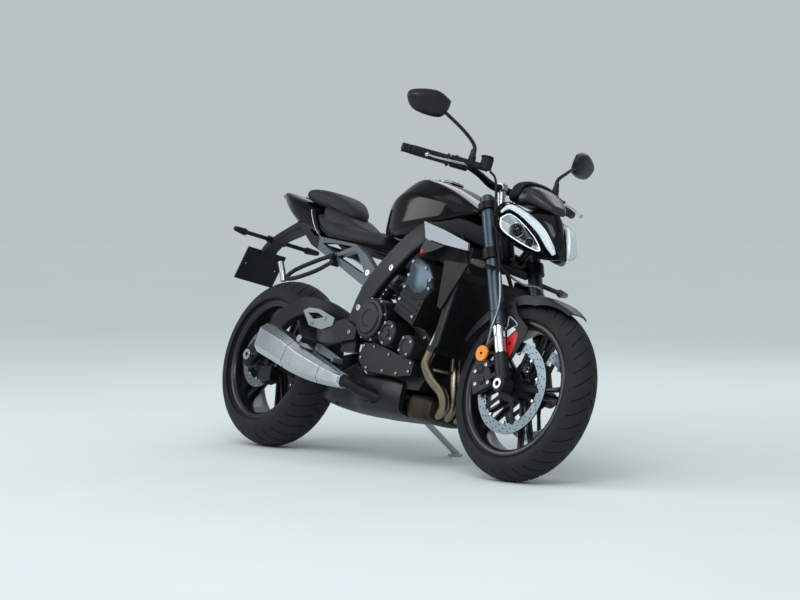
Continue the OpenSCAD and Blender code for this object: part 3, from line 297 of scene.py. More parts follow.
def cast_wheel(name, hub, body, width, hub_half, hub_round, depth):
    """A rim, a hub and five double spokes; depth is the spokes' size along the axle."""
    rim, seat = 217, width * 0.4 + 0.3
    lip = seat + 5
    side = [(rim, seat + 0.3), (rim + 8, seat + 1.2), (rim + 11, seat + 2.6), (rim + 10.5, lip - 0.6),
            (rim + 7, lip),
            (rim - 4, lip), (rim - 9, lip - 3), (rim - 13, lip - 9), (rim - 16, lip - 16), (rim - 19, 20)]
    bm = bmesh.new()
    spun(bm, side + [(r, -y) for r, y in reversed(side)], 160)
    spun(bm, [(12.6, -hub_half), (hub_round - 5, -hub_half), (hub_round, 5 - hub_half),
              (hub_round, hub_half - 5),
              (hub_round - 5, hub_half), (12.6, hub_half)], 64)
    for k in range(5):
        for s in (-1, 1):
            rings = []
            for t in (0.0, 0.2, 0.45, 0.7, 0.9, 1.0):
                r = 28 + t * (rim - 16 - 28)
                mid, wide = s * (5 + 21 * t), 10.5 - 4.0 * math.sin(math.pi * t) * 0.6 - 1.5 * t
                deep = depth / 2 * (1.15 - 0.3 * t)
                ring = [(wide, 0.55 * deep), (wide * 0.55, deep), (-wide * 0.55, deep),
                        (-wide, 0.55 * deep),
                        (-wide, -0.55 * deep), (-wide * 0.55, -deep), (wide * 0.55, -deep),
                        (wide, -0.55 * deep)]
                turn = Matrix.Rotation(math.tau * k / 5, 3, "Y")
                rings.append([turn @ Vector((r, y, mid + z)) for z, y in ring])
            loft(bm, rings)
    return fitted(name, bm, hub, body, [wheel_paint], edge=1.0)


cast_wheel("front_rim_dressed", front_hub, "front_wheel", 120, 56, 38, 26)
cast_wheel("rear_rim_dressed", rear_hub, "rear_wheel", 180, 92, 46, 30)

# Brake discs: stamped stainless rings, ground and drilled, on black spiders held by bright buttons.
# Grinding leaves faint rings about the axle, and the drilled holes are clean round bores.
disc_steel = finish("ground_stainless_disc", "#7d8a92", "#66737b", 1.6, (0.26, 0.4), bump=0.05,
                    metallic=1.0)
spider_black = finish("black_anodised_spider", "#1d1e21", "#16171a", 2.0, (0.35, 0.5), metallic=0.6)
bright_zinc = finish("zinc_plated_steel", "#c9ccd0", "#aeb2b6", 3.0, (0.2, 0.36), metallic=1.0)


def drilled_ring(bm, outer, inner, at, thick, cells):
    """A flat ring with slanted rows of round holes, each opened from one cell of the ring."""
    rows = [inner, inner + 3] + [inner + 3 + (outer - inner - 6) * k / 3 for k in (1, 2)] + [outer - 3,
            outer]
    flat = bmesh.new()
    spun(flat, [(r, at) for r in rows], cells, closed=False)
    chosen = []
    for face in flat.faces:
        middle = face.calc_center_median()
        row = sum(math.hypot(middle.x, middle.z) > r for r in rows) - 1
        column = int((math.atan2(middle.z, middle.x) % math.tau) / math.tau * cells)
        if 1 <= row <= 3 and (column + row) % 3 == 0:
            chosen.append(face)
    bored = bmesh.ops.poke(flat, faces=chosen)["verts"]
    holes = bmesh.ops.bevel(flat, geom=bored, offset=4.3, offset_type="OFFSET", segments=2, profile=0.5,
                            affect="VERTICES", material=-1)["faces"]
    bmesh.ops.delete(flat, geom=holes, context="FACES")
    bmesh.ops.recalc_face_normals(flat, faces=flat.faces)
    bmesh.ops.solidify(flat, geom=flat.faces[:], thickness=thick)
    flat.normal_update()
    for face in flat.faces:
        middle = face.calc_center_median()
        face.material_index = int(abs(face.normal.y) < 0.5 and inner + 1 < math.hypot(middle.x,
                middle.z) < outer - 1)
    mesh = bpy.data.meshes.new("ring")
    flat.to_mesh(mesh)
    flat.free()
    bm.from_mesh(mesh)
    bpy.data.meshes.remove(mesh)


def paint(bm, surface, first=0):
    """Gives the faces their finish, from the given one on."""
    bm.faces.ensure_lookup_table()
    for face in bm.faces[first:]:
        face.material_index = surface


def brake_disc(name, hub, body, sides, outer, band, at, hub_half, spider, hole):
    """A drilled ring on its spider, with buttons between them, for each side that is given."""
    bm = bmesh.new()
    for s in sides:
        drilled_ring(bm, outer, outer - band, s * (at + 2.5), 5, 78)
        steel = len(bm.faces)
        spun(bm, [(hole, s * hub_half), (spider - 6, s * hub_half), (spider - 6, s * at), (spider, s * at),
                  (spider, s * (at + 5)), (hole, s * (at + 5))], 64)
        for k in range(5):
            turn = Matrix.Rotation(math.tau * k / 5, 4, "Y")
            loft(bm, [[turn @ Vector((r, s * (at + y), z)) for y, z in
                       ((0.6, -w), (4.4, -w), (4.4, w), (0.6, w))]
                      for r, w in ((spider - 8, 11), (spider + 22, 6.5), (outer - band - 6, 7.5),
                                   (outer - band + 5, 8))])
        paint(bm, 1, steel)
        black = len(bm.faces)
        for k in range(10):
            turn = Matrix.Rotation(math.tau * (k + 0.5) / 10, 4, "Y")
            button = bmesh.ops.create_cone(bm, cap_ends=True, segments=14, radius1=6.5, radius2=5.0,
                                           depth=8.0)["verts"]
            bmesh.ops.rotate(bm, verts=button, matrix=Matrix.Rotation(-s * math.pi / 2, 3, "X"))
            bmesh.ops.translate(bm, verts=button, vec=(outer - band - 2, s * (at + 3), 0))
            bmesh.ops.transform(bm, verts=button, matrix=turn)
        paint(bm, 2, black)
    return fitted(name, bm, hub, body, [disc_steel, spider_black, bright_zinc], smooth=30)


brake_disc("front_discs_dressed", front_hub, "front_wheel", (-1, 1), 155, 36, 62, 56, 48, 22)
brake_disc("rear_disc_dressed", rear_hub, "rear_wheel", (-1,), 110, 30, 96, 92, 50, 26)


# Axles and sprocket: turned steel, zinc plated, and a milled sprocket with teeth.
# Their edges are broken with a file, so they get the solids' own form with small rounded edges.
def merged(node):
    """A copy of the solid with its points merged and its coplanar facets joined."""
    bm = bmesh.new()
    bm.from_mesh(frame["nodes"][node].data)
    bmesh.ops.remove_doubles(bm, verts=bm.verts, dist=2e-6)
    bmesh.ops.dissolve_limit(bm, angle_limit=math.radians(0.6), verts=bm.verts[:], edges=bm.edges[:])
    return bm


def trimmed(node, body, surface, edge, smooth=35):
    """The solid's own form with its edges rounded."""
    return fitted(node + "_dressed", merged(node), AS_DRAWN, body, [surface], smooth, edge)


trimmed("front_axle", "steering", bright_zinc, 0.8)
trimmed("rear_axle", "chassis", bright_zinc, 0.8)

sprocket_steel = finish("milled_sprocket_steel", "#6b6e72", "#55585c", 2.0, (0.3, 0.45), metallic=1.0)
bm = bmesh.new()
spun(bm, [(26, 92), (54, 92), (54, 104.5), (90, 104.5), (90, 111.5), (26, 111.5)], 72)
for k in range(46):
    turn = Matrix.Rotation(math.tau * k / 46, 4, "Y")
    loft(bm, [[turn @ Vector((r, y, z)) for y, z in ((105 + b, -w), (111 - b, -w), (111 - b, w),
                                                     (105 + b, w))]
              for r, w, b in ((108, 7.3, 0.0), (112, 5.5, 0.3), (117, 2.6, 1.6))])
for k in range(6):
    turn = Matrix.Rotation(math.tau * (k + 0.5) / 6, 4, "Y")
    loft(bm, [[turn @ Vector((r, y, z)) for y, z in ((104.5, -w), (111.5, -w), (111.5, w), (104.5, w))]
              for r, w in ((86, 16), (96, 13), (108, 20))])
spun(bm, [(102, 104.5), (110, 104.5), (110, 111.5), (102, 111.5)], 92)
fitted("rear_sprocket_dressed", bm, rear_hub, "rear_wheel", [sprocket_steel], edge=0.5)

# Fork: anodised aluminium outer tubes over hard-chromed sliders, with cast feet that hold the axle.
# The tubes have a soft satin grey-blue sheen, and the chrome is as bright as a mirror.
fork_anodised = finish("grey_anodised_aluminium", "#4a545f", "#3d4650", 2.0, (0.28, 0.4), bump=0.02,
                       metallic=0.85)
hard_chrome = finish("hard_chrome", "#d9dde1", "#c6cbd0", 4.0, (0.06, 0.14), metallic=1.0)
foot_paint = finish("satin_black_foot_paint", "#17191c", "#111315", 2.0, (0.35, 0.5), bump=0.08)


def both_sides(bm):
    """Copies the mesh to the machine's other side."""
    copy = bmesh.ops.duplicate(bm, geom=bm.verts[:] + bm.edges[:] + bm.faces[:])["geom"]
    verts = [g for g in copy if isinstance(g, bmesh.types.BMVert)]
    bmesh.ops.scale(bm, verts=verts, vec=(1, -1, 1))
    bmesh.ops.reverse_faces(bm, faces=[g for g in copy if isinstance(g, bmesh.types.BMFace)])


bm = bmesh.new()
spun(bm, [(0, 112.3), (20.5, 112.3), (20.5, 212), (0, 212)], 64, closed=False)
paint(bm, 1)
spun(bm, [(0, 211), (26, 211), (27, 212), (27, 218), (26.2, 219), (26.2, 221), (27.4, 222), (27.4, 258),
          (25, 262),
          (25, 657), (24.6, 657.5), (24.6, 659), (25, 659.5), (25, 688), (23, 690), (18, 690.2), (17, 697),
          (15, 698),
          (0, 698)], 64, closed=False)
bmesh.ops.rotate(bm, verts=bm.verts, matrix=Matrix.Rotation(math.pi / 2, 3, "X"))
bmesh.ops.translate(bm, verts=bm.verts, vec=(0, 102, 0))
both_sides(bm)
fitted("fork_tubes_dressed", bm, fork, "steering", [fork_anodised, hard_chrome], smooth=28)
trimmed("fork_bottoms", "steering", foot_paint, 1.6)
yoke_black = finish("black_anodised_yoke", "#17181b", "#111214", 2.2, (0.32, 0.46), bump=0.04, metallic=0.5)
trimmed("yokes", "steering", yoke_black, 1.5)


# Handlebar: a tapered aluminium tube, bent and anodised, held by two clamps on the top yoke.
# Anodising leaves an even satin skin; the clamps are cast and painted like the yoke.
def swept(bm, points, radius, steps=6, sides=20, flat=1.0):
    """A tube along a smooth path; radius is one size, or one for each given point."""
    sizes = radius if isinstance(radius, (list, tuple)) else [radius] * len(points)
    rows = through([(*p, r) for p, r in zip(points, sizes)], steps)
    spots = [Vector(row[:3]) for row in rows]
    rings, across = [], None
    for k, spot in enumerate(spots):
        way = (spots[min(k + 1, len(spots) - 1)] - spots[max(k - 1, 0)]).normalized()
        if across is None:
            across = Vector((0, 1, 0)) if abs(way.y) < 0.8 else Vector((1, 0, 0))
        across = (across - across.dot(way) * way).normalized()
        over = way.cross(across)
        rings.append([spot + rows[k][3] * (math.cos(a) * across + flat * math.sin(a) * over)
                      for a in (math.tau * n / sides for n in range(sides))])
    loft(bm, rings)


def aligned(at, way):
    """Turns Y to the given way and moves zero to the given point."""
    return Matrix.Translation(at) @ Vector((0, 1, 0)).rotation_difference(Vector(way)).to_matrix().to_4x4()


def add_part(bm, part, place, surface=0):
    """Adds a small finished part to a larger mesh, in its place and with its finish."""
    bmesh.ops.transform(part, matrix=place, verts=part.verts)
    if surface is not None:
        paint(part, surface)
    mesh = bpy.data.meshes.new("part")
    part.to_mesh(mesh)
    part.free()
    bm.from_mesh(mesh)
    bpy.data.meshes.remove(mesh)


def turned(outline, steps=32, closed=False):
    """A small turned part about Y."""
    part = bmesh.new()
    spun(part, outline, steps, closed)
    return part


def cap_bolts(bm, spots, size, tall, surface=0):
    """Socket-head bolts, each standing on its spot and pointing the given way."""
    for at, way in spots:
        head = turned([(0, tall * 0.5), (size * 0.5, tall * 0.5), (size * 0.55, tall), (size * 0.85, tall),
                       (size, tall * 0.8), (size, 0), (0, 0)], 10)
        add_part(bm, head, aligned(at, way), surface)


tumbled_alloy = finish("tumbled_aluminium", "#a9aeb3", "#92979c", 1.5, (0.24, 0.38), bump=0.05,
                       metallic=1.0)
bar_anodised = finish("dark_anodised_aluminium", "#1d2024", "#16181b", 2.0, (0.26, 0.38), metallic=0.7)
grip_root, bar_tip = Vector((1075, 268, 1018)), Vector((1013, 396, 1019))
grip_way = (bar_tip - grip_root).normalized()
bend = grip_root - grip_way * 58
bar_side = [Vector((1105, 0, 985)), Vector((1105, 78, 985)), Vector((1107, 150, 1005)), bend, grip_root,
            bar_tip]
bar_line = [Vector((p.x, -p.y, p.z)) for p in reversed(bar_side[1:])] + bar_side
bm = bmesh.new()
swept(bm, bar_line, [11, 11, 11, 11.5, 14, 14, 14, 11.5, 11, 11, 11], 6, 24)
for y in (-32, 32):
    riser = bmesh.new()
    swept(riser, [(1131, y, 893.5), (1124, y, 920), (1109, y, 976)], [15.5, 13, 15.5], 5, 20)
    add_part(bm, riser, AS_DRAWN, 2)
    add_part(bm, turned([(14.2, -12), (20, -12), (21, -11), (21, 11), (20, 12), (14.2, 12)], 32, True),
             Matrix.Translation((1105, y, 985)), 2)
    cap_bolts(bm, [((1118 + dx, y + dy, 1000), (0.3, 0, 0.95)) for dx, dy in ((0, -7), (0, 7))], 4.5, 5, 1)
fitted("handlebar_dressed", bm, steered, "steering",
       [bar_anodised, bright_zinc, tumbled_alloy])

# Grips: soft rubber sleeves with moulded ribs and a flange at the inner end.
# The rubber is dull black, and the ribs catch a thin line of light.
grip_rubber = finish("moulded_grip_rubber", "#1d1e1f", "#151616", 1.0, (0.6, 0.8), bump=0.3,
                     Specular_IOR_Level=0.35)
bm = bmesh.new()
outline = [(11.3, 0), (21.5, 0), (22.5, 1.5), (22.5, 5), (17.5, 7)]
for k in range(24):
    y = 12 + k * 4.8
    outline += [(16.9, y), (16.9, y + 2.6), (15.7, y + 3.2), (15.7, y + 4.2)]
outline += [(16.2, 134), (16.2, 137), (11.3, 138)]
add_part(bm, turned(outline, 40, True), aligned(grip_root, grip_way))
both_sides(bm)
fitted("grips_dressed", bm, steered, "steering", [grip_rubber], smooth=30)

# Bar controls: moulded switch housings, the master cylinders, mirror bosses and turned end weights.
# Black glass-filled nylon with a fine spark-eroded grain; the brake fluid pot is smoked plastic.
black_nylon = finish("black_glass_filled_nylon", "#151618", "#0f1011", 1.4, (0.45, 0.62), bump=0.3)
trimmed("bar_controls", "steering", black_nylon, 1.2)
bm = bmesh.new()
add_part(bm, turned([(0, 38.4), (19, 38.4), (21, 39), (21.8, 40), (21.8, 44), (20, 45.5), (15, 45.5),
                     (15, 44.5), (0, 44.5)],
                    28), Matrix.Translation((1158, -172, 1014)) @ Matrix.Rotation(math.pi / 2, 4, "X"))
for y in (-1, 1):
    for k, (dx, dz) in enumerate(((-4, 21.2), (-10, 18.5), (2, 20.5))):
        knob = bmesh.new()
        bmesh.ops.create_cube(knob, size=1.0)
        bmesh.ops.scale(knob, vec=(8, 7 + 2 * k, 5), verts=knob.verts)
        bmesh.ops.bevel(knob, geom=knob.edges[:], offset=1.2, segments=2, profile=0.5, affect="EDGES",
                        material=-1)
        add_part(bm, knob, Matrix.Translation((1090 + dx, y * (228 + 10 * k), 1017 + dz)), 1
                 if k == 0 else 0)
switch_red = finish("moulded_red_switch", "#9c2a26", "#86211e", 1.5, (0.35, 0.5))
fitted("switches_and_pot_lid", bm, steered, "steering", [black_nylon, switch_red],
       edge=0.4)

# Levers: forged aluminium blades, tumbled and clear anodised, with a ball at the tip.
# Tumbling leaves a soft silver sheen with a faint grain.
bm = bmesh.new()
swept(bm, [(1128, 240, 1009), (1146, 258, 1006), (1130, 310, 1003), (1106, 352, 1002), (1094, 376, 1003.5)],
      [7.0, 7.0, 6.6, 5.6, 5.0], 8, 20, 0.62)
add_part(bm, turned([(0, -8), (4.5, -6.8), (7.2, -3.2), (8, 0), (7.2, 3.2), (4.5, 6.8), (0, 8)], 20),
         Matrix.Translation((1092, 379, 1004)))
both_sides(bm)
lever_polish = finish("polished_aluminium", "#cdd2d6", "#b9bec3", 1.5, (0.14, 0.24), metallic=1.0)
fitted("levers_dressed", bm, steered, "steering", [lever_polish], smooth=50)

# Mirrors: moulded shells with a pressed-in silvered glass, on bent steel stems with a rubber boot.
# The shell is satin grey-black; the stem is painted steel rod.
mirror_shell = finish("satin_mirror_shell", "#1f2226", "#181b1e", 1.6, (0.34, 0.48), bump=0.12)
silvered_glass = finish("silvered_mirror_glass", "#dfe6ea", "#d5dde2", 30.0, (0.01, 0.03), metallic=1.0)
edge_line = [(76, 26), (20, 47), (-62, 28), (-74, -2), (-38, -38), (48, -40), (74, -8)]
edge_line = through(edge_line + edge_line[:1], 6)[:-1]
bm = bmesh.new()
swept(bm, [(1120, 205, 1046.5), (1119, 206, 1085), (1106, 250, 1122), (1074, 318, 1164), (1062, 345, 1176)],
      [9, 6.5, 6.2, 6.2, 7.5], 8, 18)
add_part(bm, turned([(0, 0), (12, 0), (12.5, 4), (10, 8), (11, 12), (9, 16), (9.5, 21), (7.5, 28), (0, 28)],
                    24),
         aligned((1120, 205, 1046.5), (-0.03, 0.03, 1)))
shell = bmesh.new()
loft(shell, [[(x, -p[0] * k, p[1] * k) for p in edge_line] for x, k in
             ((-12.5, 0.93), (-14, 0.95), (-13.6, 0.985), (-11, 1.0), (-4, 1.0), (4, 0.965), (11, 0.88),
              (16, 0.76), (20, 0.6), (22, 0.4),
              (23, 0.2))])
glass = bmesh.new()
rim = [glass.verts.new((-13.2, -p[0] * 0.935, p[1] * 0.935)) for p in edge_line]
glass.faces.new(rim)
bmesh.ops.inset_region(glass, faces=glass.faces[:], thickness=2.0, depth=0.4)
stance = Matrix.Translation((1046, 385, 1185)) @ Matrix.Rotation(math.radians(24), 4,
        "Z") @ Matrix.Rotation(math.radians(14), 4, "Y")
add_part(bm, shell, stance)
add_part(bm, glass, stance, 1)
both_sides(bm)
fitted("mirrors_dressed", bm, steered, "steering", [mirror_shell, silvered_glass],
       smooth=42)

# Headlamps: two upswept eyes, each a clear polycarbonate lens over a bright bowl with two dark projectors,
# and a light guide along the brow that glows white as the daytime lamp. All sit in a gloss black cowl.
gloss_black = finish("gloss_black_lacquer", "#08090a", "#060708", 60.0, (0.07, 0.11),
                     Specular_IOR_Level=0.22)
# Painted shadow: this black stands for the shade that the brow's light guide throws onto the upper, inner
# part of the bright bowl.
bowl_shadow_black = finish("lamp_bowl_painted_shadow", "#15171a", "#101214", 1.5, (0.25, 0.4), bump=0.1)
bright_reflector = finish("aluminised_reflector", "#dfe3e6", "#cfd4d8", 8.0, (0.06, 0.16), metallic=1.0)
light_guide = finish("lit_acrylic_light_guide", "#dfe6ea", "#d3dce1", 6.0, (0.2, 0.3))
guide = light_guide.node_tree.nodes["Principled BSDF"]
guide.inputs["Emission Color"].default_value = linear("#eef8ff")
guide.inputs["Emission Strength"].default_value = 0.22
clear_lens = finish("clear_polycarbonate", "#f7fafb", "#f2f6f8", 50.0, (0.0, 0.02), Transmission_Weight=1.0,
                    IOR=1.07)
lamp_out = Vector((-0.75, 0.524, 0.403)).normalized()
lamp_up = Vector((0.25, -0.338, 0.907)).normalized()
lamp_axes = Matrix((lamp_out, lamp_up, lamp_out.cross(lamp_up))).transposed()
lamp_face = Matrix.Translation((1338, 86, 826)) @ lamp_axes.to_4x4()
lamp_line = [(-142, -14), (-84, -48), (0, -60), (64, -60), (108, -38), (127, 4), (110, 44), (40, 52),
             (-30, 40), (-96, 14)]
lamp_line = through(lamp_line + lamp_line[:1], 6)[:-1]


def lamp_rings(steps):
    """The lamp's outline at each share of its size and depth."""
    return [[(p[0] * k, p[1] * k, depth) for p in lamp_line] for k, depth in steps]


def rounded_body(stations, top_power, low_power, steps=6, sides=48, grow=0.0):
    """Rings of a rounded body along x; a station is x, low, high, half width and its face's slope."""
    rings = []
    for x, low, high, half, slope in through(stations, steps):
        ring = []
        for a in (math.tau * k / sides for k in range(sides)):
            power = low_power if math.sin(a) < 0 else top_power
            y = (half + grow) * math.copysign(abs(math.cos(a)) ** (2 / power), math.cos(a))
            h = ((high - low) / 2 + grow) * math.copysign(abs(math.sin(a)) ** (2 / power), math.sin(a))
            ring.append((x + slope * h, y, (low + high) / 2 + h))
        rings.append(ring)
    return rings


bm = bmesh.new()
cowl = bmesh.new()
loft(cowl, lamp_rings(((0.3, -80), (0.45, -77), (0.8, -52), (0.97, -30), (1.05, -15), (1.065, -8),
                       (1.06, -1), (1.035, 2),
                       (1.0, 1), (0.985, -1), (0.96, -8), (0.9, -18), (0.6, -30), (0.3, -34))))
add_part(bm, cowl, lamp_face)
both_sides(bm)
nose = bmesh.new()
loft(nose, rounded_body([(1262, 792, 900, 70, 0), (1320, 770, 925, 62, 0), (1372, 764, 905, 40, 0),
                         (1404, 776, 850, 24, 0)], 2.5, 4))
add_part(bm, nose, AS_DRAWN)
swept(bm, [(1236, 0, 736), (1262, 0, 762), (1296, 0, 806)], 15, 4, 16)
fitted("headlamp_cowl_dressed", bm, steered, "steering", [gloss_black], smooth=40)

bm = bmesh.new()
lamp = bmesh.new()
brow = [(113, 2), (105, 26), (86, 37), (34, 38), (-34, 26), (-90, 1), (-122, -16)]
swept(lamp, [(x, y, d) for (x, y), d in zip(brow, (2, 5, 8, 11, 11, 9, 4))], [3.5, 7, 9.5, 12, 13.5, 13, 7],
      8, 20, 0.62)
paint(lamp, 1)
bowl_line = [(100, -14), (76, -42), (20, -47), (-44, -42), (-74, -30), (-34, -6), (30, 12), (82, 14)]
rim = bmesh.new()
swept(rim, [(x, y, 2) for x, y in bowl_line + bowl_line[:1]], [3.6, 4, 3.4, 2.6, 2, 1.5, 1.5, 2.4, 3.6], 6,
      14, 0.7)
add_part(lamp, rim, AS_DRAWN, 0)
bowl_edge = through(bowl_line + bowl_line[:1], 6)[:-1]
bowl_steps = ((0.05, -15, 1.0), (0.5, -14, 1.0), (0.62, -11, 0.8), (0.82, -4, 0.3), (1.0, 2, 0.0),
              (1.0, 0, 0.0),
              (0.82, -6, 0.3), (0.62, -13.5, 0.8), (0.5, -17, 1.0), (0.05, -18, 1.0))
bowl = bmesh.new()
loft(bowl, [[(19.5 + (x - 19.5) * k - 12 * off, -19.4 + (y + 19.4) * k + 7 * off, depth)
             for x, y in bowl_edge] for k, depth, off in bowl_steps])
# Faces deeper than 11.5 mm, shifted toward the bowl's upper side, get the black as a painted shadow of the
# brow; the rest stays bright reflector.
for face in bowl.faces:
    face.material_index = 3 if min(vert.co.z for vert in face.verts) < -11.5 else 0
add_part(lamp, bowl, AS_DRAWN, None)
for x, y, size in ((34, -16, 1.0), (-26, -26, 0.62)):
    eye_place = aligned((x, y, -6), (0, 0, 1)) @ Matrix.Scale(size, 4)
    add_part(lamp, turned([(0, 14), (8, 12.8), (15, 9), (20, 2), (22, -5), (22, -16), (0, -16)], 40),
             eye_place, 2)
    add_part(lamp, turned([(22, -10), (23, 1), (24.5, 2), (26, 1), (27, -10)], 40, True), eye_place, 0)
add_part(bm, lamp, lamp_face, None)
both_sides(bm)
projector = finish("dark_projector_glass", "#10161a", "#0a0e11", 20.0, (0.05, 0.1))
fitted("lamp_insides", bm, steered, "steering",
       [bright_reflector, light_guide, projector, bowl_shadow_black], smooth=45)
bm = bmesh.new()
lens = bmesh.new()
loft(lens, lamp_rings(((0.97, 1), (0.975, 8), (0.95, 15), (0.88, 26), (0.78, 33), (0.66, 38.5), (0.5, 43),
                       (0.3, 45.5), (0.12, 46.3))))
open_back = [face for face in lens.faces if all(vert.co.z < 1.5 for vert in face.verts)]
bmesh.ops.delete(lens, geom=open_back, context="FACES_ONLY")
bmesh.ops.recalc_face_normals(lens, faces=lens.faces)
bmesh.ops.solidify(lens, geom=lens.faces[:], thickness=1.8)
add_part(bm, lens, lamp_face)
both_sides(bm)
fitted("headlamps_dressed", bm, steered, "steering", [clear_lens], smooth=60)

# Instrument and fly screen: a flat display in a moulded case behind a small smoked screen.
# The case is grained black plastic, the display is dark glass, and the screen is tinted and satin.
display_glass = finish("dark_display_glass", "#0b1116", "#080c10", 40.0, (0.05, 0.09), Coat_Weight=1.0)
smoked = finish("smoked_polycarbonate", "#23262f", "#1c1f27", 50.0, (0.24, 0.34), Specular_IOR_Level=0.4)
bm = bmesh.new()
loft(bm, rounded_body([(1208, 936, 960, 70, 0.4), (1222, 930, 1004, 92, 0.4), (1246, 932, 1012, 92, 0.4),
                       (1262, 936, 1006, 84, 0.4)], 2.5, 4))
swept(bm, [(1262, 0, 950), (1280, 0, 946)], 30, 2, 16, 0.5)
case = len(bm.faces)
loft(bm, rounded_body([(1266, 918, 996, 86, 0.4), (1300, 918, 984, 84, 0.3), (1340, 912, 956, 64, 0.2),
                       (1372, 906, 934, 34, 0)], 2.5, 4))
paint(bm, 1, case)
display = bmesh.new()
bmesh.ops.create_grid(display, x_segments=1, y_segments=1, size=0.5)
bmesh.ops.scale(display, vec=(58, 134, 1), verts=display.verts)
bmesh.ops.inset_region(display, faces=display.faces[:], thickness=3, depth=-1.0)
add_part(bm, display, Matrix.Translation((1209, 0, 972)) @ Matrix.Rotation(math.radians(-68), 4, "Y"), 2)
fitted("instrument_dressed", bm, steered, "steering", [black_nylon, smoked, display_glass],
       smooth=40)


# Front mudguard: one moulded shell over the tyre, with a guard panel beside each fork leg.
# Satin grey plastic, self coloured; each panel carries a white and a red film and two rubber plugs.
def plate(bm, outline, near, far):
    """A flat plate with its outline seen from the side, from one place across to another."""
    loft(bm, [[(x, y, z) for x, z in outline] for y in (near, far)])


guard_plastic = finish("satin_grey_mudguard_plastic", "#262a2f", "#1e2226", 1.5, (0.32, 0.46), bump=0.1)
white_film = finish("white_vinyl_film", "#e4e8ea", "#d9dee1", 30.0, (0.2, 0.3))
red_film = finish("red_vinyl_film", "#d22a2c", "#c02125", 30.0, (0.2, 0.3))
bm = bmesh.new()
rings = []
for k in range(41):
    t = k / 40
    a = math.radians(57 + 95 * t)
    grown = min(1.0, t / 0.28)
    wide = 0.62 + 0.38 * math.sin(grown * math.pi / 2)
    drop = 7 + 27 * grown ** 1.6 - 14 * max(0.0, (t - 0.8) / 0.2)
    side = [(316, 44), (312, 60), (316 - drop, 64), (316 - drop, 68), (313, 65), (317, 57), (320, 46),
            (322, 24)]
    ring = [(r, -y * wide) for r, y in side] + [(323.5, 0)]
    ring += [(r, y * wide) for r, y in reversed(side)] + [(318.5, 0)]
    rings.append([(r * math.cos(a), y, r * math.sin(a)) for r, y in ring])
shell = bmesh.new()
loft(shell, rings)
add_part(bm, shell, Matrix.Translation((WHEELBASE, 0, FRONT_RADIUS)))
panel = [(1300, 578), (1338, 590), (1372, 542), (1428, 504), (1430, 484), (1406, 434), (1386, 392),
         (1358, 386), (1350, 420),
         (1336, 470), (1326, 520)]
sides = bmesh.new()
plate(sides, panel, 73, 77)
bmesh.ops.bevel(sides, geom=sides.edges[:], offset=1.2, segments=2, profile=0.5, affect="EDGES",
                material=-1)
for surface, outline in ((1, [(1337, 487), (1361, 502), (1376, 493), (1344, 464)]),
                         (2, [(1345, 459), (1382, 488), (1391, 475), (1384, 422), (1371, 396),
                              (1360, 404)]),
                         (3, [(1310, 573), (1333, 581), (1338, 562), (1318, 560)])):
    film = bmesh.new()
    plate(film, outline, 76.8, 77.5)
    add_part(sides, film, AS_DRAWN, surface)
line = bmesh.new()
swept(line, [(x, 77, z) for x, z in ((1334, 500), (1332, 534), (1352, 527), (1378, 510), (1366, 501))], 1.1,
      3, 8)
add_part(sides, line, AS_DRAWN, 1)
for x, z in ((1348, 515), (1360, 446)):
    add_part(sides, turned([(0, 2.6), (5, 2.6), (6.5, 1.6), (7, 0)], 20), aligned((x, 76.6, z), (0, 1, 0)),
             3)
both_sides(sides)
add_part(bm, sides, AS_DRAWN, None)
fitted("front_mudguard_dressed", bm, steered, "steering",
       [guard_plastic, white_film, red_film, black_nylon], smooth=32)

# Front calipers: cast four-piston bodies in black paint, bolted to the fork feet.
# The casting is satin and a little grainy; its bolts are zinc plated.
caliper_paint = finish("black_caliper_paint", "#121315", "#0d0e0f", 1.8, (0.3, 0.45), bump=0.12)
trimmed("front_calipers", "steering", caliper_paint, 2.5)
bm = bmesh.new()
cap_bolts(bm, [((x, 94, z), (0, 1, 0)) for x, z in ((-74, 38), (-74, 102), (-132, 52), (-126, 96))], 6.5, 5,
          1)
for x, z in ((-104, 56), (-104, 96)):
    add_part(bm, turned([(0, 3), (13, 3), (15, 2), (15.5, 0)], 24), aligned((x, 94, z), (0, 1, 0)))
both_sides(bm)
fitted("caliper_bolts", bm, fork, "steering", [caliper_paint, bright_zinc])

# Brake hoses: steel braid under a thin clear sleeve, from the fluid pot down to both calipers.
# The braid is bright and fine, and its upper stretch runs in a black rubber sleeve.
steel_braid = finish("braided_steel_hose", "#a3a8ac", "#6d7276", 0.8, (0.25, 0.4), bump=0.4, metallic=0.9)


def fork_at(front, side, up):
    """A point given from the front axle: ahead of the fork, across, and up along it."""
    x = WHEELBASE + front * math.cos(RAKE) - up * math.sin(RAKE)
    z = FRONT_RADIUS + front * math.sin(RAKE) + up * math.cos(RAKE)
    return Vector((x, side, z))


bm = bmesh.new()
sleeve_end = 672
split = fork_at(42, -118, 420)
drop = [(30, 118, 290), (4, 138, 200), (-46, 120, 146), (-84, 98, 131)]
swept(bm, [(1158, -148, 1014), (1176, -128, 985), fork_at(44, -118, 600), fork_at(42, -118, 500), split]
      + [fork_at(x, -y, z) for x, y, z in drop], 4, 8, 12)
swept(bm, [split, fork_at(42, -78, 392), fork_at(36, 0, 380), fork_at(42, 78, 380)]
      + [fork_at(*p) for p in drop], 4, 8, 12)
for face in bm.faces:
    face.material_index = int(face.calc_center_median().z > sleeve_end)
fitted("brake_hoses_dressed", bm, steered, "steering", [steel_braid, grip_rubber], smooth=50)

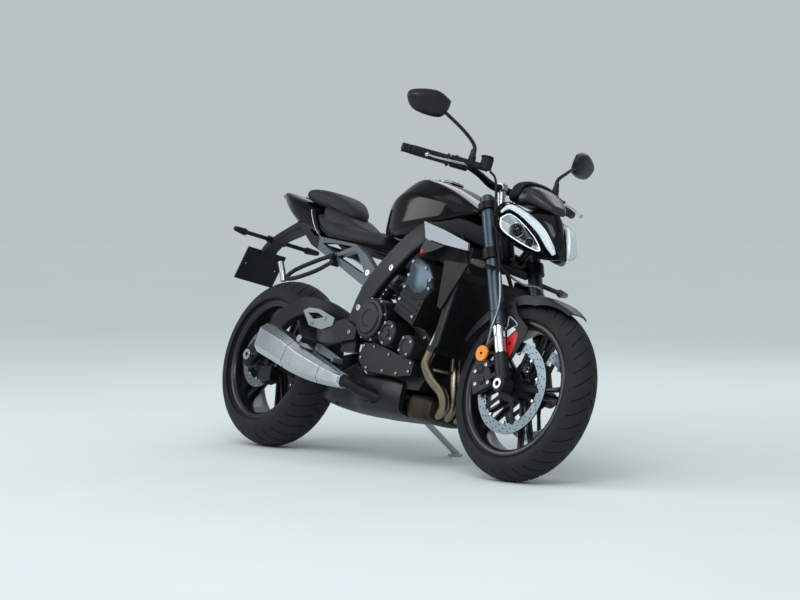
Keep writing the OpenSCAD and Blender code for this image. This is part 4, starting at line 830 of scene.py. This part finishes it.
# Reflectors and indicators: a round amber reflector beside each fork leg, and small bullet indicators.
# Moulded acrylic with a fine prism pattern; the indicators have smoked lenses in black shells.
amber_acrylic = finish("amber_reflector_acrylic", "#f58d00", "#df7600", 2.2, (0.2, 0.3), bump=0.4)
smoked_lens = finish("smoked_indicator_lens", "#4a4640", "#3a3733", 2.0, (0.12, 0.22), Coat_Weight=0.6)
disc = trimmed("front_reflectors", "steering", amber_acrylic, 1.2)
disc.data.materials.append(black_nylon)
back = steered.inverted()
for face in disc.data.polygons:
    at = back @ face.center
    face.material_index = int(math.hypot(at.x - 1300, at.z - 394) > 26.5)
bm = bmesh.new()
cap_bolts(bm, [((1300, 136.4, 394), (0, 1, 0))], 4.5, 2.5)
both_sides(bm)
fitted("reflector_screws", bm, steered, "steering", [black_nylon])
for node, body in (("front_indicators", "steering"), ("rear_indicators", "chassis")):
    lamp = trimmed(node, body, black_nylon, 0.0, 40)
    lamp.data.materials.append(smoked_lens)
    way = forward if node.startswith("front") else -forward
    for face in lamp.data.polygons:
        face.material_index = int(face.normal.dot(way) > 0.45)

# Main frame: two aluminium spars from the steering head to the swingarm pivot, in graphite paint.
# The welds are dressed flush, the paint is satin, and the through bolts are bright.
frame_paint = finish("satin_graphite_frame_paint", "#1e2125", "#171a1d", 2.4, (0.3, 0.44), bump=0.06,
                     metallic=0.25)
trimmed("main_frame", "chassis", frame_paint, 3.0)
bm = bmesh.new()
cap_bolts(bm, [((758, 154.6, 668), (0, 1, 0)), ((612, 152.2, 520), (0, 1, 0))], 12, 7)
cap_bolts(bm, [((590, 151.6, 430), (0, 1, 0)), ((664, 150, 530), (0, 1, 0))], 9, 6)
both_sides(bm)
fitted("frame_bolts", bm, machine, "chassis", [bright_zinc])

# Subframe: a cast aluminium wing that carries the seat, open in two triangles, in satin silver.
# Cast and bead blasted, so its skin is fine and even with rounded edges.
cast_silver = finish("bead_blasted_aluminium", "#6a7279", "#5b6369", 1.2, (0.36, 0.5), bump=0.1,
                     metallic=0.5)
bm = merged("subframe")
split_at = machine @ Vector((212, 0, 780))
bmesh.ops.bisect_plane(bm, geom=bm.verts[:] + bm.edges[:] + bm.faces[:], plane_co=split_at,
                       plane_no=forward)
for face in bm.faces:
    face.material_index = int((face.calc_center_median() - split_at).dot(forward) < 0)
fitted("subframe_dressed", bm, AS_DRAWN, "chassis", [cast_silver, black_nylon], edge=3.0)
bm = bmesh.new()
cap_bolts(bm, [((600, 136, 650), (0.09, 1, 0))], 12, 6)
both_sides(bm)
fitted("subframe_bolts", bm, machine, "chassis", [bright_zinc])

# Engine: three cylinders leaning forward on a split crankcase, all cast, in black with a grey head cover.
# The black is a thin satin coat on a grainy casting; the head cover is smooth metallic grey.
# Cooling ribs, cover bolts and the starter motor behind the cylinders are added to the solid.
engine_black = finish("black_cast_engine_paint", "#131416", "#0d0e0f", 1.8, (0.38, 0.55), bump=0.25)
head_grey = finish("metallic_grey_cover_paint", "#465663", "#3b4a56", 24.0, (0.2, 0.28), metallic=0.7)
trimmed("engine", "chassis", engine_black, 3.0)
bm = bmesh.new()
cover = bmesh.new()
outline = [(836, 598), (858, 656), (855, 686), (881, 709), (958, 679), (992, 639), (1001, 602), (964, 562),
           (906, 560)]
inner = [(868, 612), (882, 650), (880, 672), (890, 682), (944, 660), (966, 632), (972, 606), (950, 584),
         (908, 584)]
loft(cover, [[(x, 149.8, z) for x, z in outline], [(x, 153, z) for x, z in outline],
             [(x, 160 if z > 640 else 157, z) for x, z in inner]])
for face in cover.faces:
    face.material_index = int(face.calc_center_median().z > 628)
add_part(bm, cover, AS_DRAWN, None)
for low, high in (((832, 586), (946, 546)), ((825, 568), (940, 526)), ((818, 550), (934, 506)),
                  ((812, 532), (928, 488))):
    plate(bm, [low, high, (high[0] - 3, high[1] - 8), (low[0] - 3, low[1] - 8)], 149.5, 153)
cover_bolts = (
    (872, 154, 694), (950, 154, 672), (984, 154, 630), (862, 154, 646), (984, 153, 600), (850, 153, 604),
    (836, 152, 560), (922, 150, 500), (950, 98, 440), (990, 98, 400), (990, 98, 330), (700, 98, 530),
    (770, 98, 540), (652, 98, 360), (652, 98, 420))
cap_bolts(bm, [(spot, (0, 1, 0)) for spot in cover_bolts], 6.5, 6, 2)
both_sides(bm)
starter = [(0, -88), (24, -88), (31, -84), (33, -76), (33, -30), (31.5, -28), (31.5, 50), (34, 52),
           (34, 74), (28, 84), (12, 88), (0, 88)]
add_part(bm, turned(starter, 48), aligned((742, 0, 591), (0, 1, 0)), 0)
fitted("engine_details", bm, machine, "chassis", [engine_black, head_grey, bright_zinc],
       edge=0.8)

# Engine covers: die-cast lids over the clutch, the water pump, the starter and the generator.
# Painted like the cases but smoother, with turned steps and a ring of bright bolts.
cover_black = finish("satin_black_cover_paint", "#17191c", "#111315", 2.0, (0.28, 0.42), bump=0.08)


def bolt_circle(x, y, z, radius, count, start):
    """Spots round a circle on one side, facing out; start is the first one's angle in degrees."""
    turns = [math.radians(start + 360 / count * k) for k in range(count)]
    return [((x + radius * math.cos(a), y, z + radius * math.sin(a)), (0, math.copysign(1, y), 0))
            for a in turns]


bm = bmesh.new()
for (x, z), side, steps in (
        ((734, 477), -1, [(77, 0), (77, 77), (75, 79.5), (71, 80), (71, 92), (68, 95.5), (57, 96),
                          (55.5, 99), (52, 102), (30, 102),
                          (27, 99), (0, 99)]),
        ((840, 432), -1, [(46, 0), (46, 82), (43, 87), (30, 88), (27, 84), (14, 84), (12, 88), (0, 88)]),
        ((942, 394), -1, [(41, 0), (41, 68), (38, 73), (24, 74), (22, 71), (0, 71)]),
        ((880, 400), 1, [(82, 0), (82, 68), (79, 72), (67, 72.5), (66, 84), (62, 88), (36, 88), (33, 85),
                         (0, 85)])):
    add_part(bm, turned(steps + [(0, 0)], 72), aligned((x, side * 98.2, z), (0, side, 0)))
plate(bm, [(648, 340), (660, 400), (740, 400), (900, 360), (964, 350), (960, 300), (880, 290), (700, 300)],
      -138, -98.2)
plate(bm, [(700, 340), (710, 470), (800, 480), (940, 440), (962, 330), (880, 290)], 98.2, 134)
spots = bolt_circle(734, -177.6, 477, 74, 8, 15) + bolt_circle(840, -184.5, 432, 37, 5, 40)
spots += bolt_circle(942, -171, 394, 32, 4, 30) + bolt_circle(880, 170, 400, 75, 6, 20)
spots += [((x, -138, z), (0, -1, 0)) for x, z in ((664, 346), (672, 388), (730, 388), (706, 312),
                                                  (800, 306),
                                               (880, 302), (946, 312), (950, 342), (820, 364))]
cap_bolts(bm, spots, 5.5, 5, 1)
fitted("engine_covers_dressed", bm, machine, "chassis", [cover_black, bright_zinc],
       smooth=30, edge=0.6)

# Radiator: a brazed core of flat tubes and folded fins between two tanks, with side shrouds.
# All black; the core reads as a fine even mesh and its frame is a shade lighter.
radiator_black = finish("black_radiator_paint", "#0d0e0f", "#090a0b", 2.0, (0.4, 0.6), bump=0.15)
radiator_edge = finish("grey_radiator_frame", "#33383d", "#2a2f33", 2.0, (0.35, 0.5))
trimmed("radiator", "chassis", radiator_black, 2.0)
core = Matrix.Translation((1060, 0, 385)) @ Matrix.Rotation(math.atan2(52, 287), 4, "Y")
bm = bmesh.new()
for k in range(30):
    z = 26 + 8 * k
    loft(bm, [[(25.8, y, z), (26.9, y, z + 0.4), (26.9, y, z + 1.6), (25.8, y, z + 2)]
              for y in (-150, 150)])
for k in range(76):
    y = -150 + 4 * k
    loft(bm, [[(25.7, y, z), (26.4, y + 0.2, z), (26.4, y + 0.8, z), (25.7, y + 1, z)] for z in (22, 264)])
for y in (-158, 150):
    frame_bar = bmesh.new()
    plate(frame_bar, [(24, 20), (29, 21), (29, 264), (24, 266)], y, y + 8)
    add_part(bm, frame_bar, AS_DRAWN, 1)
fitted("radiator_core", bm, machine @ core, "chassis", [radiator_black, radiator_edge],
       smooth=30)

# Side panels: a silver wing under the tank on each side with a grey panel below it.
# Painted plastic, smooth and satin; a small red rivet sits at the lower panel's rear corner.
wing_silver = finish("satin_silver_panel_paint", "#8f979d", "#828a90", 2.0, (0.3, 0.4), metallic=0.4)
panel_grey = finish("dark_grey_panel_plastic", "#2b2f34", "#24282c", 1.6, (0.36, 0.5), bump=0.08)
wing = trimmed("side_panels", "chassis", wing_silver, 2.0)
wing.data.materials.append(panel_grey)
back = machine.inverted()
for face in wing.data.polygons:
    at = back @ face.center
    face.material_index = int(at.z < 776 - (at.x - 912) * 0.21)
bm = bmesh.new()
add_part(bm, turned([(0, 3.5), (6, 3), (8.5, 1.5), (9, -0.5)], 24), aligned((902, 153, 731), (0, 1, 0)))
both_sides(bm)
fitted("panel_rivets", bm, machine, "chassis", [red_film])

# Fuel tank: two steel pressings, welded and lacquered gloss black, with a flat shoulder facet on each side.
# The lacquer is deep and mirror smooth; the filler cap is turned aluminium.
tank_line = [(562, 800, 826, 62), (590, 792, 905, 92), (640, 782, 975, 122), (700, 776, 1011, 140),
             (780, 786, 1015, 144),
             (880, 812, 991, 140), (970, 846, 953, 122), (1050, 880, 911, 88), (1072, 884, 897, 60)]
rings = []
for x, low, high, half in through(tank_line, 6):
    ring = []
    flat = (math.radians(14), math.radians(64 - 22 * min(1.0, max(0.0, (x - 700) / 320))))
    for k in range(72):
        a = math.tau * k / 72
        power = 5 if math.sin(a) < 0 else 2.7

        def on_ring(angle):
            across, up = math.cos(angle), math.sin(angle)
            return Vector((half * math.copysign(abs(across) ** (2 / power), across),
                           (high - low) / 2 * math.copysign(abs(up) ** (2 / power), up)))

        b = a if a <= math.pi / 2 else math.pi - a
        spot = on_ring(a)
        if math.sin(a) > 0 and flat[0] < b < flat[1]:
            share = (b - flat[0]) / (flat[1] - flat[0])
            ends = [on_ring(f if a <= math.pi / 2 else math.pi - f) for f in flat]
            spot = spot.lerp(ends[0].lerp(ends[1], share), 0.85)
        ring.append((x, spot.x, (low + high) / 2 + spot.y))
    rings.append(ring)
bm = bmesh.new()
loft(bm, rings)
add_part(bm, turned([(46, -3), (46, 2), (44, 3.5), (40, 3.5), (38, 2.5), (36, 4.5), (14, 5.5), (13, 4.5),
                     (0, 4.5)], 48),
         aligned((790, 0, 1013.5), (0.05, 0, 1)), 1)
cap_bolts(bm, [((790 + 42 * math.cos(a), 42 * math.sin(a), 1016), (0.05, 0, 1))
               for a in (math.tau * k / 6 for k in range(6))], 3, 2.5, 2)
fitted("fuel_tank_dressed", bm, machine, "chassis", [gloss_black, tumbled_alloy,
        bright_zinc], smooth=24)

# Air box: a blow-moulded box under the tank, on the frame's cross tube.
# Dull black plastic that is only seen through the gaps between the frame and the engine.
trimmed("air_box", "chassis", black_nylon, 5.0)

# Seats: moulded foam under a stretched, lightly grained cover, one for the rider and one for the pillion.
# The cover is dull dark grey; a welted seam runs round each pad a little above its lower edge.
seat_cover = finish("grained_seat_vinyl", "#202327", "#191b1e", 1.3, (0.55, 0.72), bump=0.55,
                    Specular_IOR_Level=0.4)
CLOTH_STEPS = 20
seam_thread = finish("seat_seam_welt", "#131416", "#0e0f10", 1.0, (0.5, 0.65), bump=0.3)


def seat_pad(node, stations, top_power, low_power, swell, seam):
    """A foam pad: its form a little shrunk, swollen under its cover as cloth, and then smoothed."""
    bm = bmesh.new()
    loft(bm, rounded_body(stations, top_power, low_power, 6, 64, -3.0))
    bmesh.ops.recalc_face_normals(bm, faces=bm.faces)
    bmesh.ops.transform(bm, matrix=machine, verts=bm.verts)
    mesh = bpy.data.meshes.new(node + "_pad")
    bm.to_mesh(mesh)
    bm.free()
    pad = bpy.data.objects.new(node + "_pad", mesh)
    scene.collection.objects.link(pad)
    remesh = pad.modifiers.new("even_cells", "REMESH")
    remesh.mode = "VOXEL"
    remesh.voxel_size = 0.005
    view = bpy.context.evaluated_depsgraph_get()
    even = bpy.data.meshes.new_from_object(pad.evaluated_get(view))
    pad.modifiers.clear()
    pad.data = even
    bpy.data.meshes.remove(mesh)
    start = [v.co.copy() for v in even.vertices]
    cloth = pad.modifiers.new("cover", "CLOTH")
    cloth.settings.use_pressure = True
    cloth.settings.uniform_pressure_force = 4.0
    cloth.settings.effector_weights.gravity = 0.0
    cloth.settings.quality = 5
    cloth.point_cache.frame_start, cloth.point_cache.frame_end = 1, CLOTH_STEPS
    for step in range(1, CLOTH_STEPS + 1):
        scene.frame_set(step)
    view = bpy.context.evaluated_depsgraph_get()
    swollen = pad.evaluated_get(view).to_mesh()
    ends = [v.co.copy() for v in swollen.vertices]
    pad.evaluated_get(view).to_mesh_clear()
    pad.modifiers.clear()
    scene.frame_set(1)
    for vert, a, b in zip(even.vertices, start, ends):
        way = b - a
        vert.co = a + way * min(1.0, swell / 1000 / max(way.length, 1e-9))
    even.materials.append(seat_cover)
    even.shade_smooth()
    soft = pad.modifiers.new("soft_skin", "SUBSURF")
    soft.levels = soft.render_levels = 1
    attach(pad, "chassis")
    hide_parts(node)
    bm = bmesh.new()
    for s in (-1, 1):
        line = []
        for x, low, high, half, slope in through(stations, 4)[2:-2]:
            a = math.asin(seam)
            power = low_power if seam < 0 else top_power
            y = (half + 1.5) * abs(math.cos(a)) ** (2 / power)
            h = (high - low) / 2 * math.copysign(abs(seam) ** (2 / power), seam)
            line.append((x + slope * h, s * y, (low + high) / 2 + h))
        swept(bm, line, 2.2, 2, 8)
    fitted(node + "_welt", bm, machine, "chassis", [seam_thread], smooth=60)


seat_pad("rider_seat", [(158, 832, 896, 96, -0.71), (222, 789, 875, 111, -0.5), (300, 773, 847, 123, -0.3),
                        (400, 761, 825, 125, -0.1),
                        (480, 755, 819, 107, 0), (548, 755, 815, 77, 0), (560, 761, 809, 59, 0)], 3, 4, 5.0,
         -0.35)
seat_pad("pillion_seat", [(6, 945, 975, 55, -0.3), (40, 931, 981, 77, -0.3), (110, 913, 978, 91, -0.2),
                          (190, 897, 965, 87, 0),
                          (244, 879, 944, 73, 0), (284, 869, 917, 53, 0), (302, 869, 895, 35, 0)], 3, 6,
         4.0, -0.3)

bm = bmesh.new()
loft(bm, rounded_body([(190, 836, 912, 86, -0.3), (226, 806, 904, 98, -0.2), (272, 790, 888, 94, -0.1),
                       (318, 782, 868, 82, 0),
                       (360, 780, 850, 66, 0), (392, 780, 834, 48, 0)], 4, 4))
bolster = fitted("seat_bolster", bm, machine, "chassis", [seat_cover], smooth=50)

# Tail: a moulded cowl behind the seat with a thin white pinstripe, a short red accent and a red tail lamp.
# Gloss black like the tank; the lines are films under the lacquer, and the lamp is moulded red acrylic.
tail_line = [(-150, 938, 966, 42, -0.6), (-104, 896, 970, 66, -0.6), (-20, 838, 954, 90, -0.7),
             (80, 796, 934, 98, -0.7),
             (175.2, 775, 901, 100, -0.71)]
bm = bmesh.new()
loft(bm, rounded_body(tail_line, 4, 3, 8, 64))
skin = rounded_body(tail_line, 4, 3, 8, 64, 0.3)
for s in (-1, 1):
    line = [p for p in skin[29] if s * p[1] > 20 and 792 < p[2] < 895]
    line.sort(key=lambda p: p[2])
    stripe = bmesh.new()
    swept(stripe, line, 1.3, 2, 8)
    add_part(bm, stripe, AS_DRAWN, 1)
    along_top = [ring[11 if s > 0 else 21] for ring in skin[15:20]]
    stripe = bmesh.new()
    swept(stripe, along_top, [0.6] + [2.0] * (len(along_top) - 2) + [0.6], 2, 8)
    add_part(bm, stripe, AS_DRAWN, 2)
fitted("tail_cowl_dressed", bm, machine, "chassis", [gloss_black, white_film, red_film],
       smooth=40)
red_acrylic = finish("red_tail_lamp_acrylic", "#a3141a", "#8a0f15", 2.5, (0.1, 0.2), bump=0.2,
                     Coat_Weight=0.8)
trimmed("tail_light", "chassis", red_acrylic, 1.0, 40)
trimmed("plate_holder", "chassis", black_nylon, 1.5)

# Swingarm: a gull-shaped fabricated aluminium fork that carries the rear wheel, in satin black.
# Its right arm arches over the silencer; edges are rounded and the welds dressed.
arm_paint = finish("satin_black_swingarm_paint", "#15171a", "#0f1113", 2.4, (0.28, 0.42), bump=0.06,
                   metallic=0.3)


def beam(bm, stations, cut, steps, grow=0.0):
    """A beam of chamfered box section; each station is x, y, z, half width and half depth."""
    rows = through(stations, steps)
    spots = [Vector(row[:3]) for row in rows]
    rings = []
    for k, row in enumerate(rows):
        way = (spots[min(k + 1, len(rows) - 1)] - spots[max(k - 1, 0)]).normalized()
        n = (Vector((0, 1, 0)) - way.y * way).normalized()
        m = way.cross(n)
        w, h = row[3] + grow, row[4] + grow
        c = cut * min(w, h)
        octagon = ((w, c - h), (w, h - c), (w - c, h), (c - w, h),
                   (-w, h - c), (-w, c - h), (c - w, -h), (w - c, -h))
        rings.append([spots[k] + a * n + b * m for a, b in octagon])
    loft(bm, rings)


bm = bmesh.new()
beam(bm, [(590, -82, 430, 14, 32), (500, -94, 462, 15, 36), (400, -124, 502, 16, 36),
          (300, -138, 516, 16, 35), (190, -138, 486, 16, 36),
          (90, -138, 406, 16, 36), (-4, -138, 318, 16, 34), (-40, -138, 300, 16, 26)], 0.3, 8)
beam(bm, [(590, 82, 430, 14, 32), (480, 92, 408, 15, 34), (380, 114, 386, 16, 34), (290, 140, 370, 16, 34),
          (120, 140, 338, 16, 34),
          (-4, 140, 315, 16, 34), (-40, 140, 308, 16, 26)], 0.3, 8)
for x, z, r, half in ((590, 430, 32, 96), (430, 452, 30, 112)):
    add_part(bm, turned([(12.5, -half), (r - 2, -half), (r, 2 - half), (r, half - 2), (r - 2, half),
                         (12.5, half)], 40, True),
             Matrix.Translation((x, 0, z)))
cap_bolts(bm, [((-40, y, 304), (-1, 0, 0)) for y in (-138, 138)], 7, 12, 1)
fitted("swingarm_dressed", bm, machine, "chassis", [arm_paint, bright_zinc], smooth=40,
       edge=2.0)
trimmed("rear_caliper", "chassis", caliper_paint, 2.0)

# Chain: pressed steel plates and rollers, alternately wide and narrow, riveted to run over both sprockets.
# Oiled steel: darker than bright zinc, with a soft shine.
oiled_steel = finish("oiled_chain_steel", "#5e6063", "#45474a", 1.5, (0.28, 0.42), metallic=1.0)
PITCH, rear_round, front_round = 15.875, 119, 40
rear, front = Vector((0, 0, REAR_RADIUS)), Vector((640, 0, 428))
gap = front - rear
slope, lean = math.atan2(gap.z, gap.x), math.acos((rear_round - front_round) / gap.length)
path = [rear + rear_round * Vector((math.cos(a), 0, math.sin(a))) for a in
        (slope + lean + (math.tau - 2 * lean) * k / 40 for k in range(41))]
path += [front + front_round * Vector((math.cos(a), 0, math.sin(a))) for a in
         (slope - lean + 2 * lean * k / 16 for k in range(17))]
path.append(path[0])
spans = [(b - a).length for a, b in zip(path, path[1:])]
links = round(sum(spans) / PITCH / 2) * 2
pins = []
for k in range(links):
    goal, n = sum(spans) * k / links, 0
    while goal > spans[n]:
        goal -= spans[n]
        n += 1
    pins.append(path[n].lerp(path[n + 1], goal / spans[n]))
bm = bmesh.new()
for k, pin in enumerate(pins):
    after = pins[(k + 1) % links]
    way = (after - pin).normalized()
    over = Vector((-way.z, 0, way.x))
    outline = [pin - 5.8 * way, pin - 4 * way + 4.4 * over, pin + 5.4 * over, (pin + after) / 2
               + 3.8 * over, after + 5.4 * over,
               after + 4 * way + 4.4 * over, after + 5.8 * way, after + 4 * way - 4.4 * over,
               after - 5.4 * over,
               (pin + after) / 2 - 3.8 * over, pin - 5.4 * over, pin - 4 * way - 4.4 * over]
    for y in ((100.4, 114.0) if k % 2 else (102.3, 112.1)):
        plate(bm, [(p.x, p.z) for p in outline], y, y + 1.8)
    add_part(bm, turned([(0, 100.2), (2.6, 100.2), (2.6, 104), (5, 104), (5, 112), (2.6, 112), (2.6, 116),
                         (0, 116)], 10),
             Matrix.Translation((pin.x, 0, pin.z)))
fitted("chain_dressed", bm, machine, "chassis", [oiled_steel], smooth=30)

# Rear shock absorber: a gas damper inside a coil spring, between the swingarm and the frame's cross tube.
# The spring is wound wire in satin black powder coat, and the damper is bright.
spring_coat = finish("black_powder_coat", "#17181a", "#111213", 1.4, (0.4, 0.55), bump=0.2)
low, top = Vector((480, 0, 478)), Vector((606, 0, 668))
way = (top - low).normalized()
length = (top - low).length
bm = bmesh.new()
add_part(bm, turned([(0, 8), (18, 8), (20, 14), (20, 60), (15, 66), (15, length - 40), (20, length - 34),
                     (20, length - 8), (0, length - 8)],
                    40), aligned(low, way), 1)
for end in (low, top):
    add_part(bm, turned([(6, -20), (20, -20), (20, 20), (6, 20)], 32, True), Matrix.Translation(end), 1)
coil = bmesh.new()
swept(coil, [(25 * math.cos(math.tau * k / 12), 34 + (length - 78) * k / 90,
              25 * math.sin(math.tau * k / 12)) for k in range(91)],
      5.6, 2, 10)
add_part(bm, coil, aligned(low, way), 0)
for at in (30, length - 44):
    add_part(bm, turned([(14, 0), (30, 0), (31, 1), (31, 5), (30, 6), (14, 6)], 40, True),
             aligned(low + way * at, way), 1)
fitted("rear_shock_dressed", bm, machine, "chassis", [spring_coat, cast_silver], smooth=40)

# Exhaust: three stainless header pipes into a collector, a link pipe and a faceted side silencer.
# Heat has tinted the headers straw; the silencer is brushed stainless with welded seams and a bright tip.
straw_steel = finish("heat_tinted_stainless", "#8f8874", "#79725f", 40.0, (0.24, 0.34), bump=0.02,
                     metallic=1.0)
brushed_steel = finish("brushed_stainless", "#b8bec2", "#b2b8bc", 60.0, (0.25, 0.28), metallic=1.0)
dark_steel = finish("dark_steel_seam", "#4b4e51", "#3d4043", 2.0, (0.35, 0.5), metallic=0.9)
polished_steel = finish("polished_stainless", "#d5dadd", "#c4cacd", 4.0, (0.08, 0.16), metallic=1.0)
bm = bmesh.new()
outer = [(998, 92, 612), (1030, 94, 584), (1026, 96, 480), (1006, 108, 392), (1000, 112, 346),
         (1020, 92, 300), (1050, 58, 258),
         (1056, 44, 212), (1020, 42, 186), (960, 42, 190)]
middle = [(998, 0, 612), (1030, 0, 584), (1028, -4, 480), (1024, -12, 390), (1048, -16, 310),
          (1060, -10, 232), (1024, 0, 186),
          (960, 0, 190)]
for pipe in (outer, [(x, -y, z) for x, y, z in outer], middle):
    swept(bm, pipe, 19, 8, 24)
    add_part(bm, turned([(19, 0), (27, 0), (28, 1), (28, 6), (26, 8), (19, 8)], 28, True),
             aligned((1002, pipe[0][1], 610), (0.77, 0, -0.64)), 1)
swept(bm, [(1008, -104, 332), (1030, -60, 334), (1043, -15, 334), (1030, 60, 334), (1008, 104, 332)], 9, 6,
      16)
# The collector box under the engine is coloured a dark brown steel, much darker than the pipes.
box = bmesh.new()
loft(box, rounded_body([(900, 172, 240, 70, 0), (930, 158, 248, 92, 0), (1000, 156, 242, 92, 0),
                        (1030, 166, 226, 78, 0)], 5, 5))
add_part(bm, box, AS_DRAWN, 3)
link = bmesh.new()
swept(link, [(920, -50, 206), (850, -56, 206), (780, -84, 210), (724, -150, 226), (696, -188, 241),
             (668, -207, 250)], 20, 8, 24)
add_part(bm, link, AS_DRAWN, 2)
dark_brown_collector_steel = finish("dark_brown_collector_steel", "#3a352b", "#2a2620", 8.0, (0.4, 0.55), metallic=0.7)
heat_black = finish("black_heat_paint", "#141516", "#0e0f10", 2.0, (0.45, 0.6), bump=0.1)
fitted("exhaust_headers_dressed", bm, machine, "chassis",
       [straw_steel, dark_steel, heat_black, dark_brown_collector_steel], smooth=42)

can = [(690, -208, 247, 24, 24), (640, -208, 252, 30, 30), (540, -210, 272, 42, 42),
       (430, -212, 300, 50, 50), (320, -212, 336, 54, 56),
       (180, -210, 372, 50, 56)]
bm = bmesh.new()
beam(bm, can, 0.45, 6)
turn = Matrix.Translation((100, -300, 300)) @ Matrix.Rotation(math.radians(-40), 4, "Y")
face_at = turn @ Vector((20, 0, 0))
face_way = turn.to_3x3() @ Vector((1, 0, 0))
cut = bmesh.ops.bisect_plane(bm, geom=bm.verts[:] + bm.edges[:] + bm.faces[:], plane_co=face_at,
                             plane_no=face_way, clear_inner=True)
edges = [g for g in cut["geom_cut"] if isinstance(g, bmesh.types.BMEdge)]
end_cap = bmesh.ops.contextual_create(bm, geom=edges)["faces"]
for face in end_cap:
    face.material_index = 1
rim_in = bmesh.ops.inset_region(bm, faces=end_cap, thickness=9, depth=-3)["faces"]
for face in rim_in:
    face.material_index = 0
for face in bm.faces:
    if face.calc_center_median().x > 676:
        face.material_index = 2
for k in (10, 21):
    start, after = through(can, 6)[k:k + 2]
    seam = bmesh.new()
    beam(seam, [start, start.lerp(after, 0.16)], 0.45, 1, 0.6)
    add_part(bm, seam, AS_DRAWN, 1)
fitted("silencer_dressed", bm, machine, "chassis", [brushed_steel, dark_steel,
        polished_steel], smooth=25,
       edge=1.5)

# Belly pan: a moulded tray under the engine that hides the silencer box.
# Satin black plastic with a soft shine along its upper edge.
pan_black = finish("satin_black_pan_plastic", "#131517", "#0d0f10", 1.6, (0.3, 0.44), bump=0.08)
trimmed("belly_pan", "chassis", pan_black, 2.0, 30)

# Foot controls: cast hangers with folding pegs, silver heel guards, and forged pedals with toe pegs.
# The hangers are satin black, the guards and pedals are bare bead-blasted aluminium.
trimmed("footrests", "chassis", frame_paint, 2.0)
trimmed("heel_guards", "chassis", wing_silver, 1.2)
trimmed("foot_pedals", "chassis", cast_silver, 1.5)
bm = bmesh.new()
for k in range(9):
    add_part(bm, turned([(10.9, 0), (12.3, 0.6), (12.3, 3.2), (10.9, 3.8)], 24, True),
             Matrix.Translation((430, 178 + 7.6 * k, 378)))
add_part(bm, turned([(0, 246), (12, 246), (13.5, 247), (13.5, 252), (12, 254), (0, 254)], 24),
         Matrix.Translation((430, 0, 378)), 1)
cap_bolts(bm, [((606, 167, 428), (0, 1, 0)), ((450, 172, 470), (0, 1, 0)), ((378, 172, 452), (0, 1, 0))], 8,
          5, 1)
both_sides(bm)
fitted("peg_rubbers", bm, machine, "chassis", [grip_rubber, tumbled_alloy], smooth=30)

# Pillion footrests: bent tube hangers in black with folded silver pegs.
# The tube is powder coated; the peg is cast aluminium with a rubber top.
trimmed("pillion_hangers", "chassis", spring_coat, 0.0, 50)
bm = bmesh.new()
swept(bm, [(170, 190, 594), (160, 193, 622), (139, 198.5, 664)], [11.2, 11.6, 11.2], 4, 20)
both_sides(bm)
fitted("pillion_pegs", bm, machine, "chassis", [tumbled_alloy], smooth=40, edge=0.8)

# Side stand: a forged leg with a pressed foot, on a pin through its bracket under the frame.
# The bracket is painted black, and the leg is silver powder coat, dulled by use.
stand_silver = finish("silver_powder_coat", "#b2b7bb", "#a0a5a9", 1.6, (0.34, 0.48), bump=0.12,
                      metallic=0.5)
trimmed("stand_bracket", "chassis", spring_coat, 1.5)
trimmed("side_stand", "side_stand", stand_silver, 1.2)
